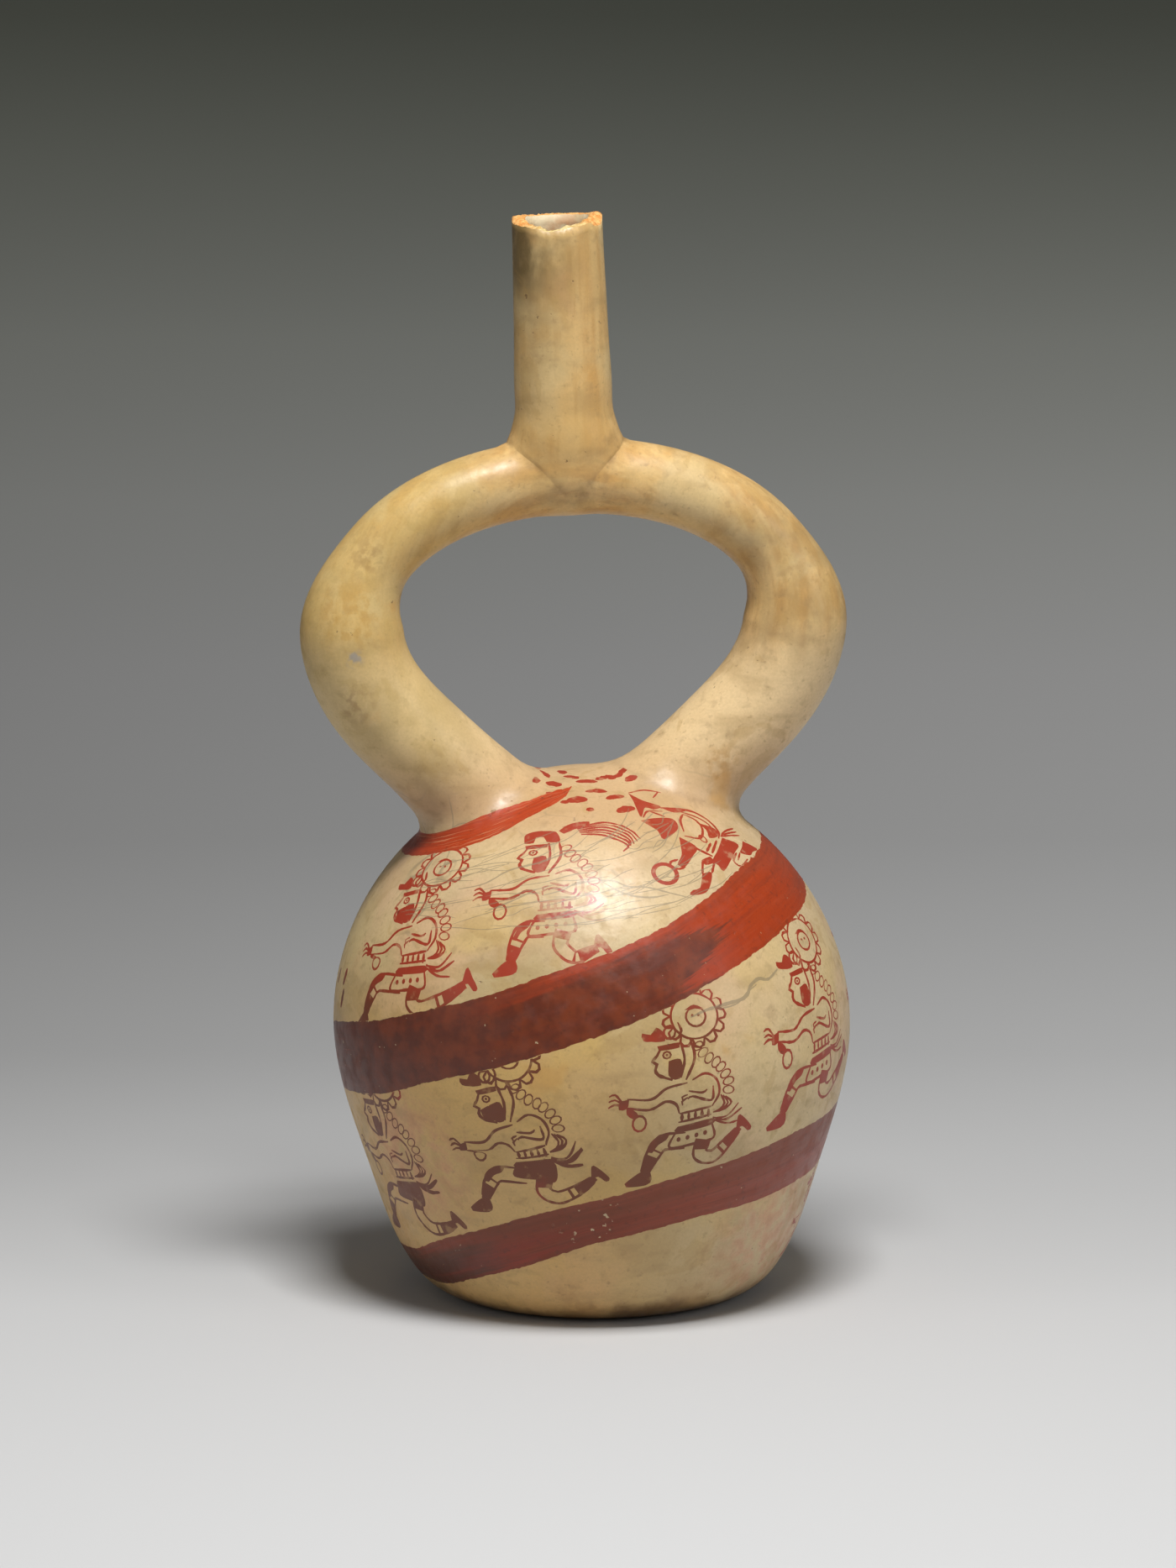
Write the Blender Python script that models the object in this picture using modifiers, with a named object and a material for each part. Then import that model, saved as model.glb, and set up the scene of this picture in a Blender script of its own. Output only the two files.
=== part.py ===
"""Stirrup-spout bottle of fired clay, built as one hollow piece.

An egg-shaped body stands on a flat base. A round tube leaves its top on each side, and the two
meet above it in an arch that carries one straight spout. Body, arch and spout are one vessel:
their hollows open into each other, and the only way in is the chipped mouth of the spout.
Metres, +Z up, with the origin at the centre of the flat base. The front is towards -Y.
"""

import math

import bmesh
import bpy
import numpy as np
from mathutils import Matrix, Vector

# Body, a turned form
base_flat_radius = 0.034        # the flat that it stands on
heel_radius = 0.0491            # where the rounded heel becomes the wall
heel_height = 0.010
belly_radius = 0.0668           # the widest place
belly_height = 0.070
body_height = 0.1372            # the crown, between the two legs
body_wall = 0.005
floor_thickness = 0.006
body_lean = math.radians(0.8)   # it slumped a little to the left as it dried

# Arch, a bent tube that is thin over the top and fuller in its two legs
arch_top_height = 0.214         # centre line of the tube, as are the sizes below
arch_reach = 0.0578             # half the span where it is widest
arch_reach_height = 0.177
arch_foot_reach = 0.0265        # half the span where the legs enter the body
arch_top_radius = 0.00975
arch_leg_radius = 0.0134
arch_foot_radius = 0.0154       # the leg spreads where it is luted to the body
arch_wall = 0.004
arch_foot_sink = 0.012          # how far a leg's end reaches in past the body's surface
arch_turn = math.radians(9.0)   # the arch's plane, turned about the upright axis
arch_shift = -0.0056            # the arch's middle, left of the base's centre

# Spout, a straight tube that narrows a little upwards
rim_height = 0.2817
rim_radius = 0.0116
spout_foot_radius = 0.0129
spout_lip_radius = 0.0142       # where it sits on the arch, with a tongue down the arch's side
spout_wall = 0.0035
spout_shift = -0.0019           # its foot, left of the arch's middle
spout_lean = math.radians(2.05)

# Broken places round the mouth: direction, half width, and depth at the outer and inner edge
rim_chips = (
    (math.radians(90), math.radians(75), 0.0016, 0.0009),
    (math.radians(-98), math.radians(26), 0.0019, 0.0026),
    (math.radians(-100), math.radians(70), 0.0012, 0.0017),
    (math.radians(-150), math.radians(40), 0.0010, 0.0005),
    (math.radians(-24), math.radians(20), 0.0019, 0.0003),
)

# How finely the round forms are cut
body_turn_steps = 60
body_outline_steps = 4
cavity_outline_steps = 3
spout_turn_steps = 28
arch_path_steps = 5
arch_bevel_resolution = 5
bore_bevel_resolution = 4

clay_colour = (0.72, 0.60, 0.40, 1.0)
clay_roughness = 0.5


def clear_scene():
    for item in list(bpy.data.objects):
        bpy.data.objects.remove(item)


def new_collection(name):
    collection = bpy.data.collections.new(name)
    bpy.context.scene.collection.children.link(collection)
    return collection


def clay_material():
    material = bpy.data.materials.new("cream_slip")
    material.use_nodes = True
    shader = material.node_tree.nodes["Principled BSDF"]
    shader.inputs["Base Color"].default_value = clay_colour
    shader.inputs["Roughness"].default_value = clay_roughness
    shader.inputs["Metallic"].default_value = 0.0
    return material


def smooth_curve(stations, start_slope, end_slope, steps):
    """Points of the smoothest cubic curve through the stations, with given end directions."""
    points = np.array(stations, dtype=float)
    gaps = np.linalg.norm(np.diff(points, axis=0), axis=1)
    count = len(points)
    slopes = np.diff(points, axis=0) / gaps[:, None]
    matrix = np.zeros((count, count))
    right = np.zeros_like(points)
    matrix[0, 0] = 1.0
    matrix[-1, -1] = 1.0
    right[0] = start_slope
    right[-1] = end_slope
    for i in range(1, count - 1):
        matrix[i, i - 1] = 1.0 / gaps[i - 1]
        matrix[i, i] = 2.0 / gaps[i - 1] + 2.0 / gaps[i]
        matrix[i, i + 1] = 1.0 / gaps[i]
        right[i] = 3.0 * (slopes[i - 1] / gaps[i - 1] + slopes[i] / gaps[i])
    tangents = np.linalg.solve(matrix, right)
    curve = [points[0]]
    for i in range(count - 1):
        for k in range(1, steps + 1):
            t = k / steps
            curve.append(
                (2 * t**3 - 3 * t**2 + 1) * points[i]
                + (t**3 - 2 * t**2 + t) * gaps[i] * tangents[i]
                + (3 * t**2 - 2 * t**3) * points[i + 1]
                + (t**3 - t**2) * gaps[i] * tangents[i + 1]
            )
    return np.array(curve)


def body_outline(steps):
    """The body's outer outline as (radius, height), from the crown down to the base's edge."""
    below = heel_radius - base_flat_radius
    wall = belly_radius - heel_radius
    rise = belly_height - heel_height
    dome = body_height - belly_height
    stations = [
        (0.0, body_height),
        (0.533 * belly_radius, belly_height + 0.833 * dome),
        (0.868 * belly_radius, belly_height + 0.484 * dome),
        (belly_radius, belly_height),
        (heel_radius + 0.50 * wall, heel_height + 0.375 * rise),
        (heel_radius, heel_height),
        (base_flat_radius + 0.61 * below, 0.30 * heel_height),
        (base_flat_radius, 0.0),
    ]
    return smooth_curve(stations, (1.0, 0.0), (-1.0, 0.0), steps)


def offset_outline(outline, inward):
    """The outline moved into the clay by the given depth, square to itself."""
    run = np.gradient(outline, axis=0)
    run /= np.linalg.norm(run, axis=1)[:, None]
    return outline + inward * np.stack([run[:, 1], -run[:, 0]], axis=1)


def body_height_at(radius):
    """Height of the body's top surface at a distance from its axis."""
    outline = body_outline(24)
    dome = outline[outline[:, 1] >= belly_height]
    return float(np.interp(radius, dome[:, 0], dome[:, 1]))


def arch_stations():
    """Half of the arch's centre line as (reach, height), from the top to the end in the body."""
    foot_height = body_height_at(arch_foot_reach)
    fall = arch_top_height - arch_reach_height
    leg_fall = arch_reach_height - foot_height
    leg_run = arch_reach - arch_foot_reach
    foot = Vector((arch_foot_reach, foot_height))
    knee = Vector((arch_reach - 0.62 * leg_run, foot_height + 0.27 * leg_fall))
    end = foot + (foot - knee).normalized() * arch_foot_sink
    return [
        (0.0, arch_top_height),
        (0.512 * arch_reach, arch_top_height - 0.132 * fall),
        (0.882 * arch_reach, arch_top_height - 0.527 * fall),
        (arch_reach, arch_reach_height),
        (arch_reach - 0.172 * leg_run, foot_height + 0.612 * leg_fall),
        (knee.x, knee.y),
        (end.x, end.y),
    ]


def arch_half_path(steps):
    stations = arch_stations()
    last = np.array(stations[-1]) - np.array(stations[-2])
    return smooth_curve(stations, (1.0, 0.0), last / np.linalg.norm(last), steps)


def arch_radius_at(height):
    """Outer radius of the tube: full in the legs, thin over the top, spread at the foot."""
    foot_height = body_height_at(arch_foot_reach)
    rise = (height - arch_reach_height) / (arch_top_height - arch_reach_height)
    thin = min(max((rise + 0.10) / 0.62, 0.0), 1.0)
    thin = thin * thin * (3.0 - 2.0 * thin)
    radius = arch_leg_radius + (arch_top_radius - arch_leg_radius) * thin
    spread = 1.0 - (height - foot_height) / (0.30 * (arch_reach_height - foot_height))
    spread = min(max(spread, 0.0), 1.0)
    return radius + (arch_foot_radius - arch_leg_radius) * spread * spread


def turned_mesh(name, outline, steps, collection):
    """A closed turned form from an outline that starts and ends on the axis."""
    mesh = bpy.data.meshes.new(name)
    points = [(float(radius), 0.0, float(height)) for radius, height in outline]
    mesh.from_pydata(points, [(i, i + 1) for i in range(len(points) - 1)], [])
    item = bpy.data.objects.new(name, mesh)
    collection.objects.link(item)
    screw = item.modifiers.new("turn", "SCREW")
    screw.axis = "Z"
    screw.angle = 2.0 * math.pi
    screw.steps = steps
    screw.render_steps = steps
    screw.use_merge_vertices = True
    screw.merge_threshold = 0.00001
    return item


def tube_along_arch(name, inset, bevel_resolution, collection):
    """The whole arch, foot to foot, as a bent tube that is inset into the clay by a wall."""
    half = arch_half_path(arch_path_steps)
    whole = [(-reach, height) for reach, height in half[:0:-1]] + [tuple(point) for point in half]
    curve = bpy.data.curves.new(name, "CURVE")
    curve.dimensions = "3D"
    curve.bevel_depth = 1.0
    curve.bevel_resolution = bevel_resolution
    curve.use_fill_caps = True
    spline = curve.splines.new("POLY")
    spline.points.add(len(whole) - 1)
    for i, (reach, height) in enumerate(whole):
        spline.points[i].co = (reach, 0.0, height, 1.0)
        spline.points[i].radius = arch_radius_at(height) - inset
    item = bpy.data.objects.new(name, curve)
    collection.objects.link(item)
    return item


def to_solid(item, matrix, collection):
    """The finished mesh of an object, welded closed, faces out, in its place in the bottle."""
    bpy.context.view_layer.update()
    shown = item.evaluated_get(bpy.context.evaluated_depsgraph_get())
    mesh = bpy.data.meshes.new_from_object(shown)
    name = item.name
    bpy.data.objects.remove(item)
    mesh.transform(matrix)
    work = bmesh.new()
    work.from_mesh(mesh)
    bmesh.ops.remove_doubles(work, verts=work.verts, dist=0.00001)
    bmesh.ops.recalc_face_normals(work, faces=work.faces)
    work.to_mesh(mesh)
    work.free()
    solid = bpy.data.objects.new(name, mesh)
    collection.objects.link(solid)
    return solid


def body_place():
    """The body's lean: each level moves left in proportion to its height."""
    place = Matrix.Identity(4)
    place[0][2] = -math.tan(body_lean)
    return place


def arch_place():
    return Matrix.Translation((arch_shift, 0.0, 0.0)) @ Matrix.Rotation(arch_turn, 4, "Z")


def spout_place():
    foot = Vector((arch_shift + spout_shift, 0.0, arch_top_height))
    return Matrix.Translation(foot) @ Matrix.Rotation(-spout_lean, 4, "Y")


def spout_length():
    return (rim_height - arch_top_height) / math.cos(spout_lean)


def spout_radius_at(rise):
    """Outer radius of the spout at a height over the arch's centre line."""
    start = arch_top_radius
    share = min(max((rise - start) / (spout_length() - start), 0.0), 1.0)
    return rim_radius + (spout_foot_radius - rim_radius) * (1.0 - share) ** 1.3


def spout_outline():
    """Outer outline as (radius, height over the arch's centre line), from the mouth down."""
    length = spout_length()
    outline = [(0.0, length)]
    for share in (1.0, 0.8, 0.6, 0.4, 0.25):
        rise = arch_top_radius + share * (length - arch_top_radius)
        outline.append((spout_radius_at(rise), rise))
    outline.append((0.5 * (spout_lip_radius + spout_foot_radius), 1.25 * arch_top_radius))
    outline.append((spout_lip_radius, 0.88 * arch_top_radius))
    outline.append((0.91 * spout_lip_radius, 0.48 * arch_top_radius))
    outline.append((0.805 * spout_lip_radius, 0.06 * arch_top_radius))
    outline.append((0.71 * spout_lip_radius, -0.26 * arch_top_radius))
    outline.append((0.55 * spout_lip_radius, -0.58 * arch_top_radius))
    outline.append((0.0, -0.85 * arch_top_radius))
    return outline


def spout_bore_outline():
    """The spout's hollow, from past the mouth down into the middle of the arch."""
    length = spout_length()
    past = length + 0.004
    outline = [(0.0, past), (rim_radius - spout_wall, past)]
    for share in (1.0, 0.5, 0.0):
        rise = arch_top_radius + share * (length - arch_top_radius)
        outline.append((spout_radius_at(rise) - spout_wall, rise))
    outline.append((arch_top_radius - arch_wall, 0.3 * arch_top_radius))
    outline.append((0.0, 0.0))
    return outline


def combine(target, other, operation):
    """Apply one exact Boolean to the target and remove the other solid."""
    modifier = target.modifiers.new(operation.lower(), "BOOLEAN")
    modifier.operation = operation
    modifier.solver = "EXACT"
    modifier.object = other
    bpy.context.view_layer.update()
    shown = target.evaluated_get(bpy.context.evaluated_depsgraph_get())
    mesh = bpy.data.meshes.new_from_object(shown)
    target.modifiers.clear()
    target.data = mesh
    bpy.data.objects.remove(other)


def chip_depth(direction, outer):
    """How deep the mouth is broken in one direction, at its outer edge or its inner one."""
    depth = 0.0
    for middle, half_width, outer_depth, inner_depth in rim_chips:
        away = (direction - middle + math.pi) % (2.0 * math.pi) - math.pi
        share = abs(away) / half_width
        if share < 1.0:
            deepest = outer_depth if outer else inner_depth
            depth = max(depth, deepest * (1.0 - share**2.5))
    return depth


def break_rim(bottle):
    """Lower the mouth's two edges where the clay has chipped."""
    inverse = spout_place().inverted()
    place = spout_place()
    length = spout_length()
    middle_radius = rim_radius - 0.5 * spout_wall
    for vertex in bottle.data.vertices:
        local = inverse @ vertex.co
        if abs(local.z - length) < 0.0001 and local.xy.length < 1.2 * rim_radius:
            outer = local.xy.length > middle_radius
            local.z -= chip_depth(math.atan2(local.y, local.x), outer)
            vertex.co = place @ local


def make_bottle(parts, cutters):
    outline = list(body_outline(body_outline_steps)) + [(0.0, 0.0)]
    bottle = to_solid(turned_mesh("bottle", outline, body_turn_steps, parts), body_place(), parts)
    arch = to_solid(tube_along_arch("arch", 0.0, arch_bevel_resolution, cutters), arch_place(), cutters)
    spout = to_solid(turned_mesh("spout", spout_outline(), spout_turn_steps, cutters), spout_place(), cutters)
    combine(bottle, arch, "UNION")
    combine(bottle, spout, "UNION")

    inner = offset_outline(body_outline(cavity_outline_steps), body_wall)
    inner = [point for point in inner if point[1] > floor_thickness]
    inner[0] = (0.0, body_height - body_wall)
    inner = inner + [(inner[-1][0] - 0.3 * body_wall, floor_thickness), (0.0, floor_thickness)]
    cavity = to_solid(turned_mesh("cavity", inner, body_turn_steps, cutters), body_place(), cutters)
    bore = tube_along_arch("arch_bore", arch_wall, bore_bevel_resolution, cutters)
    arch_bore = to_solid(bore, arch_place(), cutters)
    mouth = turned_mesh("spout_bore", spout_bore_outline(), spout_turn_steps, cutters)
    spout_bore = to_solid(mouth, spout_place(), cutters)
    combine(bottle, cavity, "DIFFERENCE")
    combine(bottle, arch_bore, "DIFFERENCE")
    combine(bottle, spout_bore, "DIFFERENCE")

    break_rim(bottle)
    bottle.data.materials.clear()
    bottle.data.materials.append(clay_material())
    bottle.data.shade_smooth()
    bottle.data.set_sharp_from_angle(angle=math.radians(35))
    bottle.name = "bottle"
    return bottle


def main():
    clear_scene()
    parts = new_collection("stirrup_spout_bottle")
    cutters = new_collection("cutters")
    make_bottle(parts, cutters)


main()
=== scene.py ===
"""Stirrup-spout bottle: the painted, burnished clay vessel in plain studio light.

The vessel is one hollow piece. Its outside is meshed in three sheets, for the body, the arch and
the spout, which share the rings where they meet and are then drawn onto one smooth surface. The
body's sheet has an edge along every painted outline, so that paint is colour alone, and crisp.
"""

import math

import bmesh
import bpy
import numpy as np
from mathutils import Matrix, Vector, kdtree
from mathutils.geometry import delaunay_2d_cdt


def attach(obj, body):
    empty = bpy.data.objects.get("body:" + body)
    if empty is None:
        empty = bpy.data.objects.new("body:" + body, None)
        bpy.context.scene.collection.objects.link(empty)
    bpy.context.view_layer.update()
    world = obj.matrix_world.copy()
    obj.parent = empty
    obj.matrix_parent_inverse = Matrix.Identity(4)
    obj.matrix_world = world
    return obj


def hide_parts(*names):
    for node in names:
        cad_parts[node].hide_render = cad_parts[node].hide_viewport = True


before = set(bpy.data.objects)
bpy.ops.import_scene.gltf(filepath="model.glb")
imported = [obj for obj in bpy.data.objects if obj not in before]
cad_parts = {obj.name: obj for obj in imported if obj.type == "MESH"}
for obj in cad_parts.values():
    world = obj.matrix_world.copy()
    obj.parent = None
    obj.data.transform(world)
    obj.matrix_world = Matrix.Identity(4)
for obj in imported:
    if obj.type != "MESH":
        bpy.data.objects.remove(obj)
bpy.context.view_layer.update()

# Body, as in the solid
base_flat_radius = 0.034
heel_radius = 0.0491
heel_height = 0.010
belly_radius = 0.0668
belly_height = 0.070
body_height = 0.1372
body_wall = 0.005
floor_thickness = 0.006
body_lean = math.radians(0.8)

# Arch, as in the solid, apart from its foot, which leaves room for the fillet
arch_top_height = 0.214
arch_reach = 0.0578
arch_reach_height = 0.177
arch_foot_reach = 0.0265
arch_top_radius = 0.00975
arch_leg_radius = 0.0134
arch_foot_radius = 0.0146
arch_wall = 0.004
arch_foot_sink = 0.012
arch_turn = math.radians(9.0)
arch_shift = -0.0056

# Spout, as in the solid
rim_height = 0.2817
rim_radius = 0.0116
spout_foot_radius = 0.0129
spout_lip_radius = 0.0142
spout_wall = 0.0035
spout_shift = -0.0019
spout_lean = math.radians(2.05)

# How softly the three forms run into each other, in metres
leg_fillet = 0.0075
spout_fillet = 0.0040

# The finishes in the order of the vessel's materials
slip = 0
broken = 1
inner_face = 2

# Mesh fineness
body_spacing = 0.0017
arch_spacing = 0.0017
arch_sides = 72
spout_sides = 96
spout_rings = 44
base_sides = 180
cavity_sides = 64
arch_map_girth = 12.0
arch_map_trim = 40.0
weld_distance = 0.00002
smallest_edge = 0.000005
point_reach = 0.0006

# Where the spout was luted on: a shallow groove, and how near the seam it lies
groove_depth = 0.00022
groove_reach = 0.0007
seam_zone = 0.004

rng = np.random.default_rng(7)


# Curves and forms

def full_turn(count):
    """Evenly spaced directions of one full turn."""
    return np.linspace(0.0, 2.0 * math.pi, count, endpoint=False)


def ring_at(radius, turns, height):
    """A level ring of points; radius and height may differ from one direction to the next."""
    return np.stack([radius * np.cos(turns), radius * np.sin(turns), height + 0.0 * turns], -1)


def smooth_curve(stations, start_slope, end_slope, steps):
    """Points of the smoothest cubic curve through the stations, with given end directions."""
    points = np.array(stations, dtype=float)
    gaps = np.linalg.norm(np.diff(points, axis=0), axis=1)
    count = len(points)
    slopes = np.diff(points, axis=0) / gaps[:, None]
    matrix = np.zeros((count, count))
    right = np.zeros_like(points)
    matrix[0, 0] = 1.0
    matrix[-1, -1] = 1.0
    right[0] = start_slope
    right[-1] = end_slope
    for i in range(1, count - 1):
        matrix[i, i - 1] = 1.0 / gaps[i - 1]
        matrix[i, i] = 2.0 / gaps[i - 1] + 2.0 / gaps[i]
        matrix[i, i + 1] = 1.0 / gaps[i]
        right[i] = 3.0 * (slopes[i - 1] / gaps[i - 1] + slopes[i] / gaps[i])
    tangents = np.linalg.solve(matrix, right)
    curve = [points[0]]
    for i in range(count - 1):
        for k in range(1, steps + 1):
            t = k / steps
            curve.append(
                (2 * t**3 - 3 * t**2 + 1) * points[i]
                + (t**3 - 2 * t**2 + t) * gaps[i] * tangents[i]
                + (3 * t**2 - 2 * t**3) * points[i + 1]
                + (t**3 - t**2) * gaps[i] * tangents[i + 1]
            )
    return np.array(curve)


def body_outline(steps):
    """The body's outer outline as (radius, height), from the crown down to the base's edge."""
    below = heel_radius - base_flat_radius
    wall = belly_radius - heel_radius
    rise = belly_height - heel_height
    dome = body_height - belly_height
    stations = [
        (0.0, body_height),
        (0.533 * belly_radius, belly_height + 0.833 * dome),
        (0.868 * belly_radius, belly_height + 0.484 * dome),
        (belly_radius, belly_height),
        (heel_radius + 0.50 * wall, heel_height + 0.375 * rise),
        (heel_radius, heel_height),
        (base_flat_radius + 0.61 * below, 0.30 * heel_height),
        (base_flat_radius, 0.0),
    ]
    return smooth_curve(stations, (1.0, 0.0), (-1.0, 0.0), steps)


def body_height_at(radius):
    outline = body_outline(24)
    dome = outline[outline[:, 1] >= belly_height]
    return float(np.interp(radius, dome[:, 0], dome[:, 1]))


def arch_half_path(steps):
    """Half of the arch's centre line as (reach, height), from the top to the end in the body."""
    foot_height = body_height_at(arch_foot_reach)
    fall = arch_top_height - arch_reach_height
    leg_fall = arch_reach_height - foot_height
    leg_run = arch_reach - arch_foot_reach
    foot = np.array((arch_foot_reach, foot_height))
    knee = np.array((arch_reach - 0.62 * leg_run, foot_height + 0.27 * leg_fall))
    inward = (foot - knee) / np.linalg.norm(foot - knee)
    stations = [
        (0.0, arch_top_height),
        (0.512 * arch_reach, arch_top_height - 0.132 * fall),
        (0.882 * arch_reach, arch_top_height - 0.527 * fall),
        (arch_reach, arch_reach_height),
        (arch_reach - 0.172 * leg_run, foot_height + 0.612 * leg_fall),
        tuple(knee),
        tuple(foot + inward * arch_foot_sink),
    ]
    return smooth_curve(stations, (1.0, 0.0), inward, steps)


def arch_radius_at(height):
    """Outer radius of the tube: full in the legs, thin over the top, spread at the foot."""
    foot_height = body_height_at(arch_foot_reach)
    rise = (height - arch_reach_height) / (arch_top_height - arch_reach_height)
    thin = np.clip((rise + 0.10) / 0.62, 0.0, 1.0)
    thin = thin * thin * (3.0 - 2.0 * thin)
    radius = arch_leg_radius + (arch_top_radius - arch_leg_radius) * thin
    spread = np.clip(1.0 - (height - foot_height) / (0.30 * (arch_reach_height - foot_height)), 0.0, 1.0)
    return radius + (arch_foot_radius - arch_leg_radius) * spread * spread


def spout_length():
    return (rim_height - arch_top_height) / math.cos(spout_lean)


def spout_outline():
    """Outer outline as (radius, height over the arch's centre line), from the rim down to the tongue."""
    length = spout_length()
    start = arch_top_radius
    stations = []
    for share in (1.0, 0.8, 0.6, 0.4, 0.22, 0.12):
        radius = rim_radius + (spout_foot_radius - rim_radius) * (1.0 - share) ** 1.3
        stations.append((radius, start + share * (length - start)))
    stations.append((spout_lip_radius, 0.88 * start))
    stations.append((0.91 * spout_lip_radius, 0.48 * start))
    stations.append((0.805 * spout_lip_radius, 0.06 * start))
    stations.append((0.71 * spout_lip_radius, -0.26 * start))
    stations.append((0.55 * spout_lip_radius, -0.58 * start))
    stations.append((0.0, -0.85 * start))
    return smooth_curve(stations, (0.0, -1.0), (-1.0, 0.0), 12)


# Places: each form's own axes and the bottle's

lean_slope = math.tan(body_lean)
arch_place = Matrix.Translation((arch_shift, 0.0, 0.0)) @ Matrix.Rotation(arch_turn, 4, "Z")
spout_place = (Matrix.Translation((arch_shift + spout_shift, 0.0,
               arch_top_height)) @ Matrix.Rotation(-spout_lean, 4, "Y") )


def moved(points, matrix):
    """Points, or grids of them, moved by a 4 x 4 matrix."""
    grid = np.array(matrix)
    return points @ grid[:3, :3].T + grid[:3, 3]


def body_to_bottle(points):
    """The body's own points, moved left in proportion to their height."""
    out = points.copy()
    out[..., 0] -= lean_slope * points[..., 2]
    return out


def bottle_to_body(points):
    out = points.copy()
    out[:, 0] += lean_slope * points[:, 2]
    return out


# Distances to the three forms, negative inside

body_line = body_outline(14)
arch_half = arch_half_path(16)
arch_line = np.vstack([arch_half[:0:-1] * (-1.0, 1.0), arch_half])
arch_radii = arch_radius_at(arch_line[:, 1])
spout_line = spout_outline()


def polyline_distance(points, line):
    """Distance from 2-D points to a polyline, with the nearest place on it as segment and share."""
    start = line[:-1]
    run = np.diff(line, axis=0)
    length = np.maximum((run**2).sum(1), 1e-18)
    best = np.full(len(points), 1e9)
    where = np.zeros(len(points), int)
    share = np.zeros(len(points))
    for low in range(0, len(points), 4000):
        part = points[low:low + 4000]
        t = np.clip(((part[:, None, :] - start) * run).sum(2) / length, 0.0, 1.0)
        gap = np.linalg.norm(part[:, None, :] - start - t[..., None] * run, axis=2)
        pick = gap.argmin(1)
        rows = np.arange(len(part))
        best[low:low + 4000] = gap[rows, pick]
        where[low:low + 4000] = pick
        share[low:low + 4000] = t[rows, pick]
    return best, where, share


def turned_distance(radius, height, line):
    """Signed distance to a turned form whose outline runs down its outer side."""
    gap, where, share = polyline_distance(np.stack([radius, height], 1), line)
    run = line[where + 1] - line[where]
    near = line[where] + share[:, None] * run
    away = np.stack([radius, height], 1) - near
    side = -(run[:, 1] * away[:, 0] - run[:, 0] * away[:, 1])
    return np.where(side >= 0.0, gap, -gap)


def body_distance(points):
    own = bottle_to_body(points)
    return turned_distance(np.hypot(own[:, 0], own[:, 1]), own[:, 2], body_line)


def arch_distance(points):
    own = moved(points, arch_place.inverted())
    flat = own[:, [0, 2]]
    _, where, share = polyline_distance(flat, arch_line)
    near = arch_line[where] + share[:, None] * (arch_line[where + 1] - arch_line[where])
    radius = arch_radii[where] + share * (arch_radii[where + 1] - arch_radii[where])
    gap = np.linalg.norm(flat - near, axis=1)
    return np.hypot(gap, own[:, 1]) - radius


def lip_flattening(height):
    """How much shallower than wide the spout is where its lip lies over the arch."""
    return 1.0 + 0.12 * np.exp(-(((height - 0.0090) / 0.0055) ** 2))


def spout_distance(points):
    own = moved(points, spout_place.inverted())
    depth = own[:, 1] * lip_flattening(own[:, 2])
    return turned_distance(np.hypot(own[:, 0], depth), own[:, 2], spout_line)


def soft_union(a, b, width):
    blend = np.maximum(width - np.abs(a - b), 0.0) / width
    return np.minimum(a, b) - blend * blend * width * 0.25


def bottle_distance(points):
    body = body_distance(points)
    arch = arch_distance(points)
    spout = spout_distance(points)
    upper = soft_union(arch, spout, spout_fillet)
    seam = np.exp(-((arch - spout) / groove_reach) ** 2) * (np.minimum(arch, spout) < seam_zone)
    upper = upper + groove_depth * seam
    return soft_union(body, upper, leg_fillet)


def draw_onto_surface(points, steps=3, probe=0.00005):
    """Move points along the form's slope until they lie on the one smooth surface."""
    points = points.copy()
    for _ in range(steps):
        here = bottle_distance(points)
        slope = np.zeros_like(points)
        for axis in range(3):
            moved_points = points.copy()
            moved_points[:, axis] += probe
            slope[:, axis] = (bottle_distance(moved_points) - here) / probe
        steep = np.maximum((slope**2).sum(1), 0.05)
        step = here / steep
        points -= np.clip(step, -0.004, 0.004)[:, None] * slope
    return points


# The body's sheet: a flat map of the body seen from its crown, true in its angles

class BodyMap:
    """Turns (direction, height) on the body into places on a flat map, and back."""

    def __init__(self):
        line = body_outline(160)
        line = line[line[:, 0] > 1e-5]
        step = np.linalg.norm(np.diff(line, axis=0), axis=1)
        middle = 0.5 * (line[1:, 0] + line[:-1, 0])
        depth = np.concatenate([[0.0], np.cumsum(step / middle)])
        self.depth = depth - depth[-1]
        self.radius = line[:, 0]
        self.height = line[:, 1]

    def depth_at_height(self, height):
        return np.interp(-np.asarray(height, float), -self.height, self.depth)

    def flat(self, direction, depth):
        reach = 1000.0 * np.exp(depth)
        return np.stack([reach * np.cos(direction), reach * np.sin(direction)], -1)

    def on_body(self, flat):
        reach = np.hypot(flat[:, 0], flat[:, 1])
        depth = np.log(np.maximum(reach, 1e-9) / 1000.0)
        radius = np.interp(depth, self.depth, self.radius)
        height = np.interp(depth, self.depth, self.height)
        top = depth < self.depth[0]
        radius[top] = self.radius[0] * np.exp(depth[top] - self.depth[0])
        height[top] = body_height
        turn = np.arctan2(flat[:, 1], flat[:, 0])
        own = np.stack([radius * np.cos(turn), radius * np.sin(turn), height], 1)
        return body_to_bottle(own)

    def flat_of_points(self, points):
        own = bottle_to_body(points)
        turn = np.arctan2(own[:, 1], own[:, 0])
        return self.flat(turn, self.depth_at_height(own[:, 2]))


body_map = BodyMap()


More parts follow.
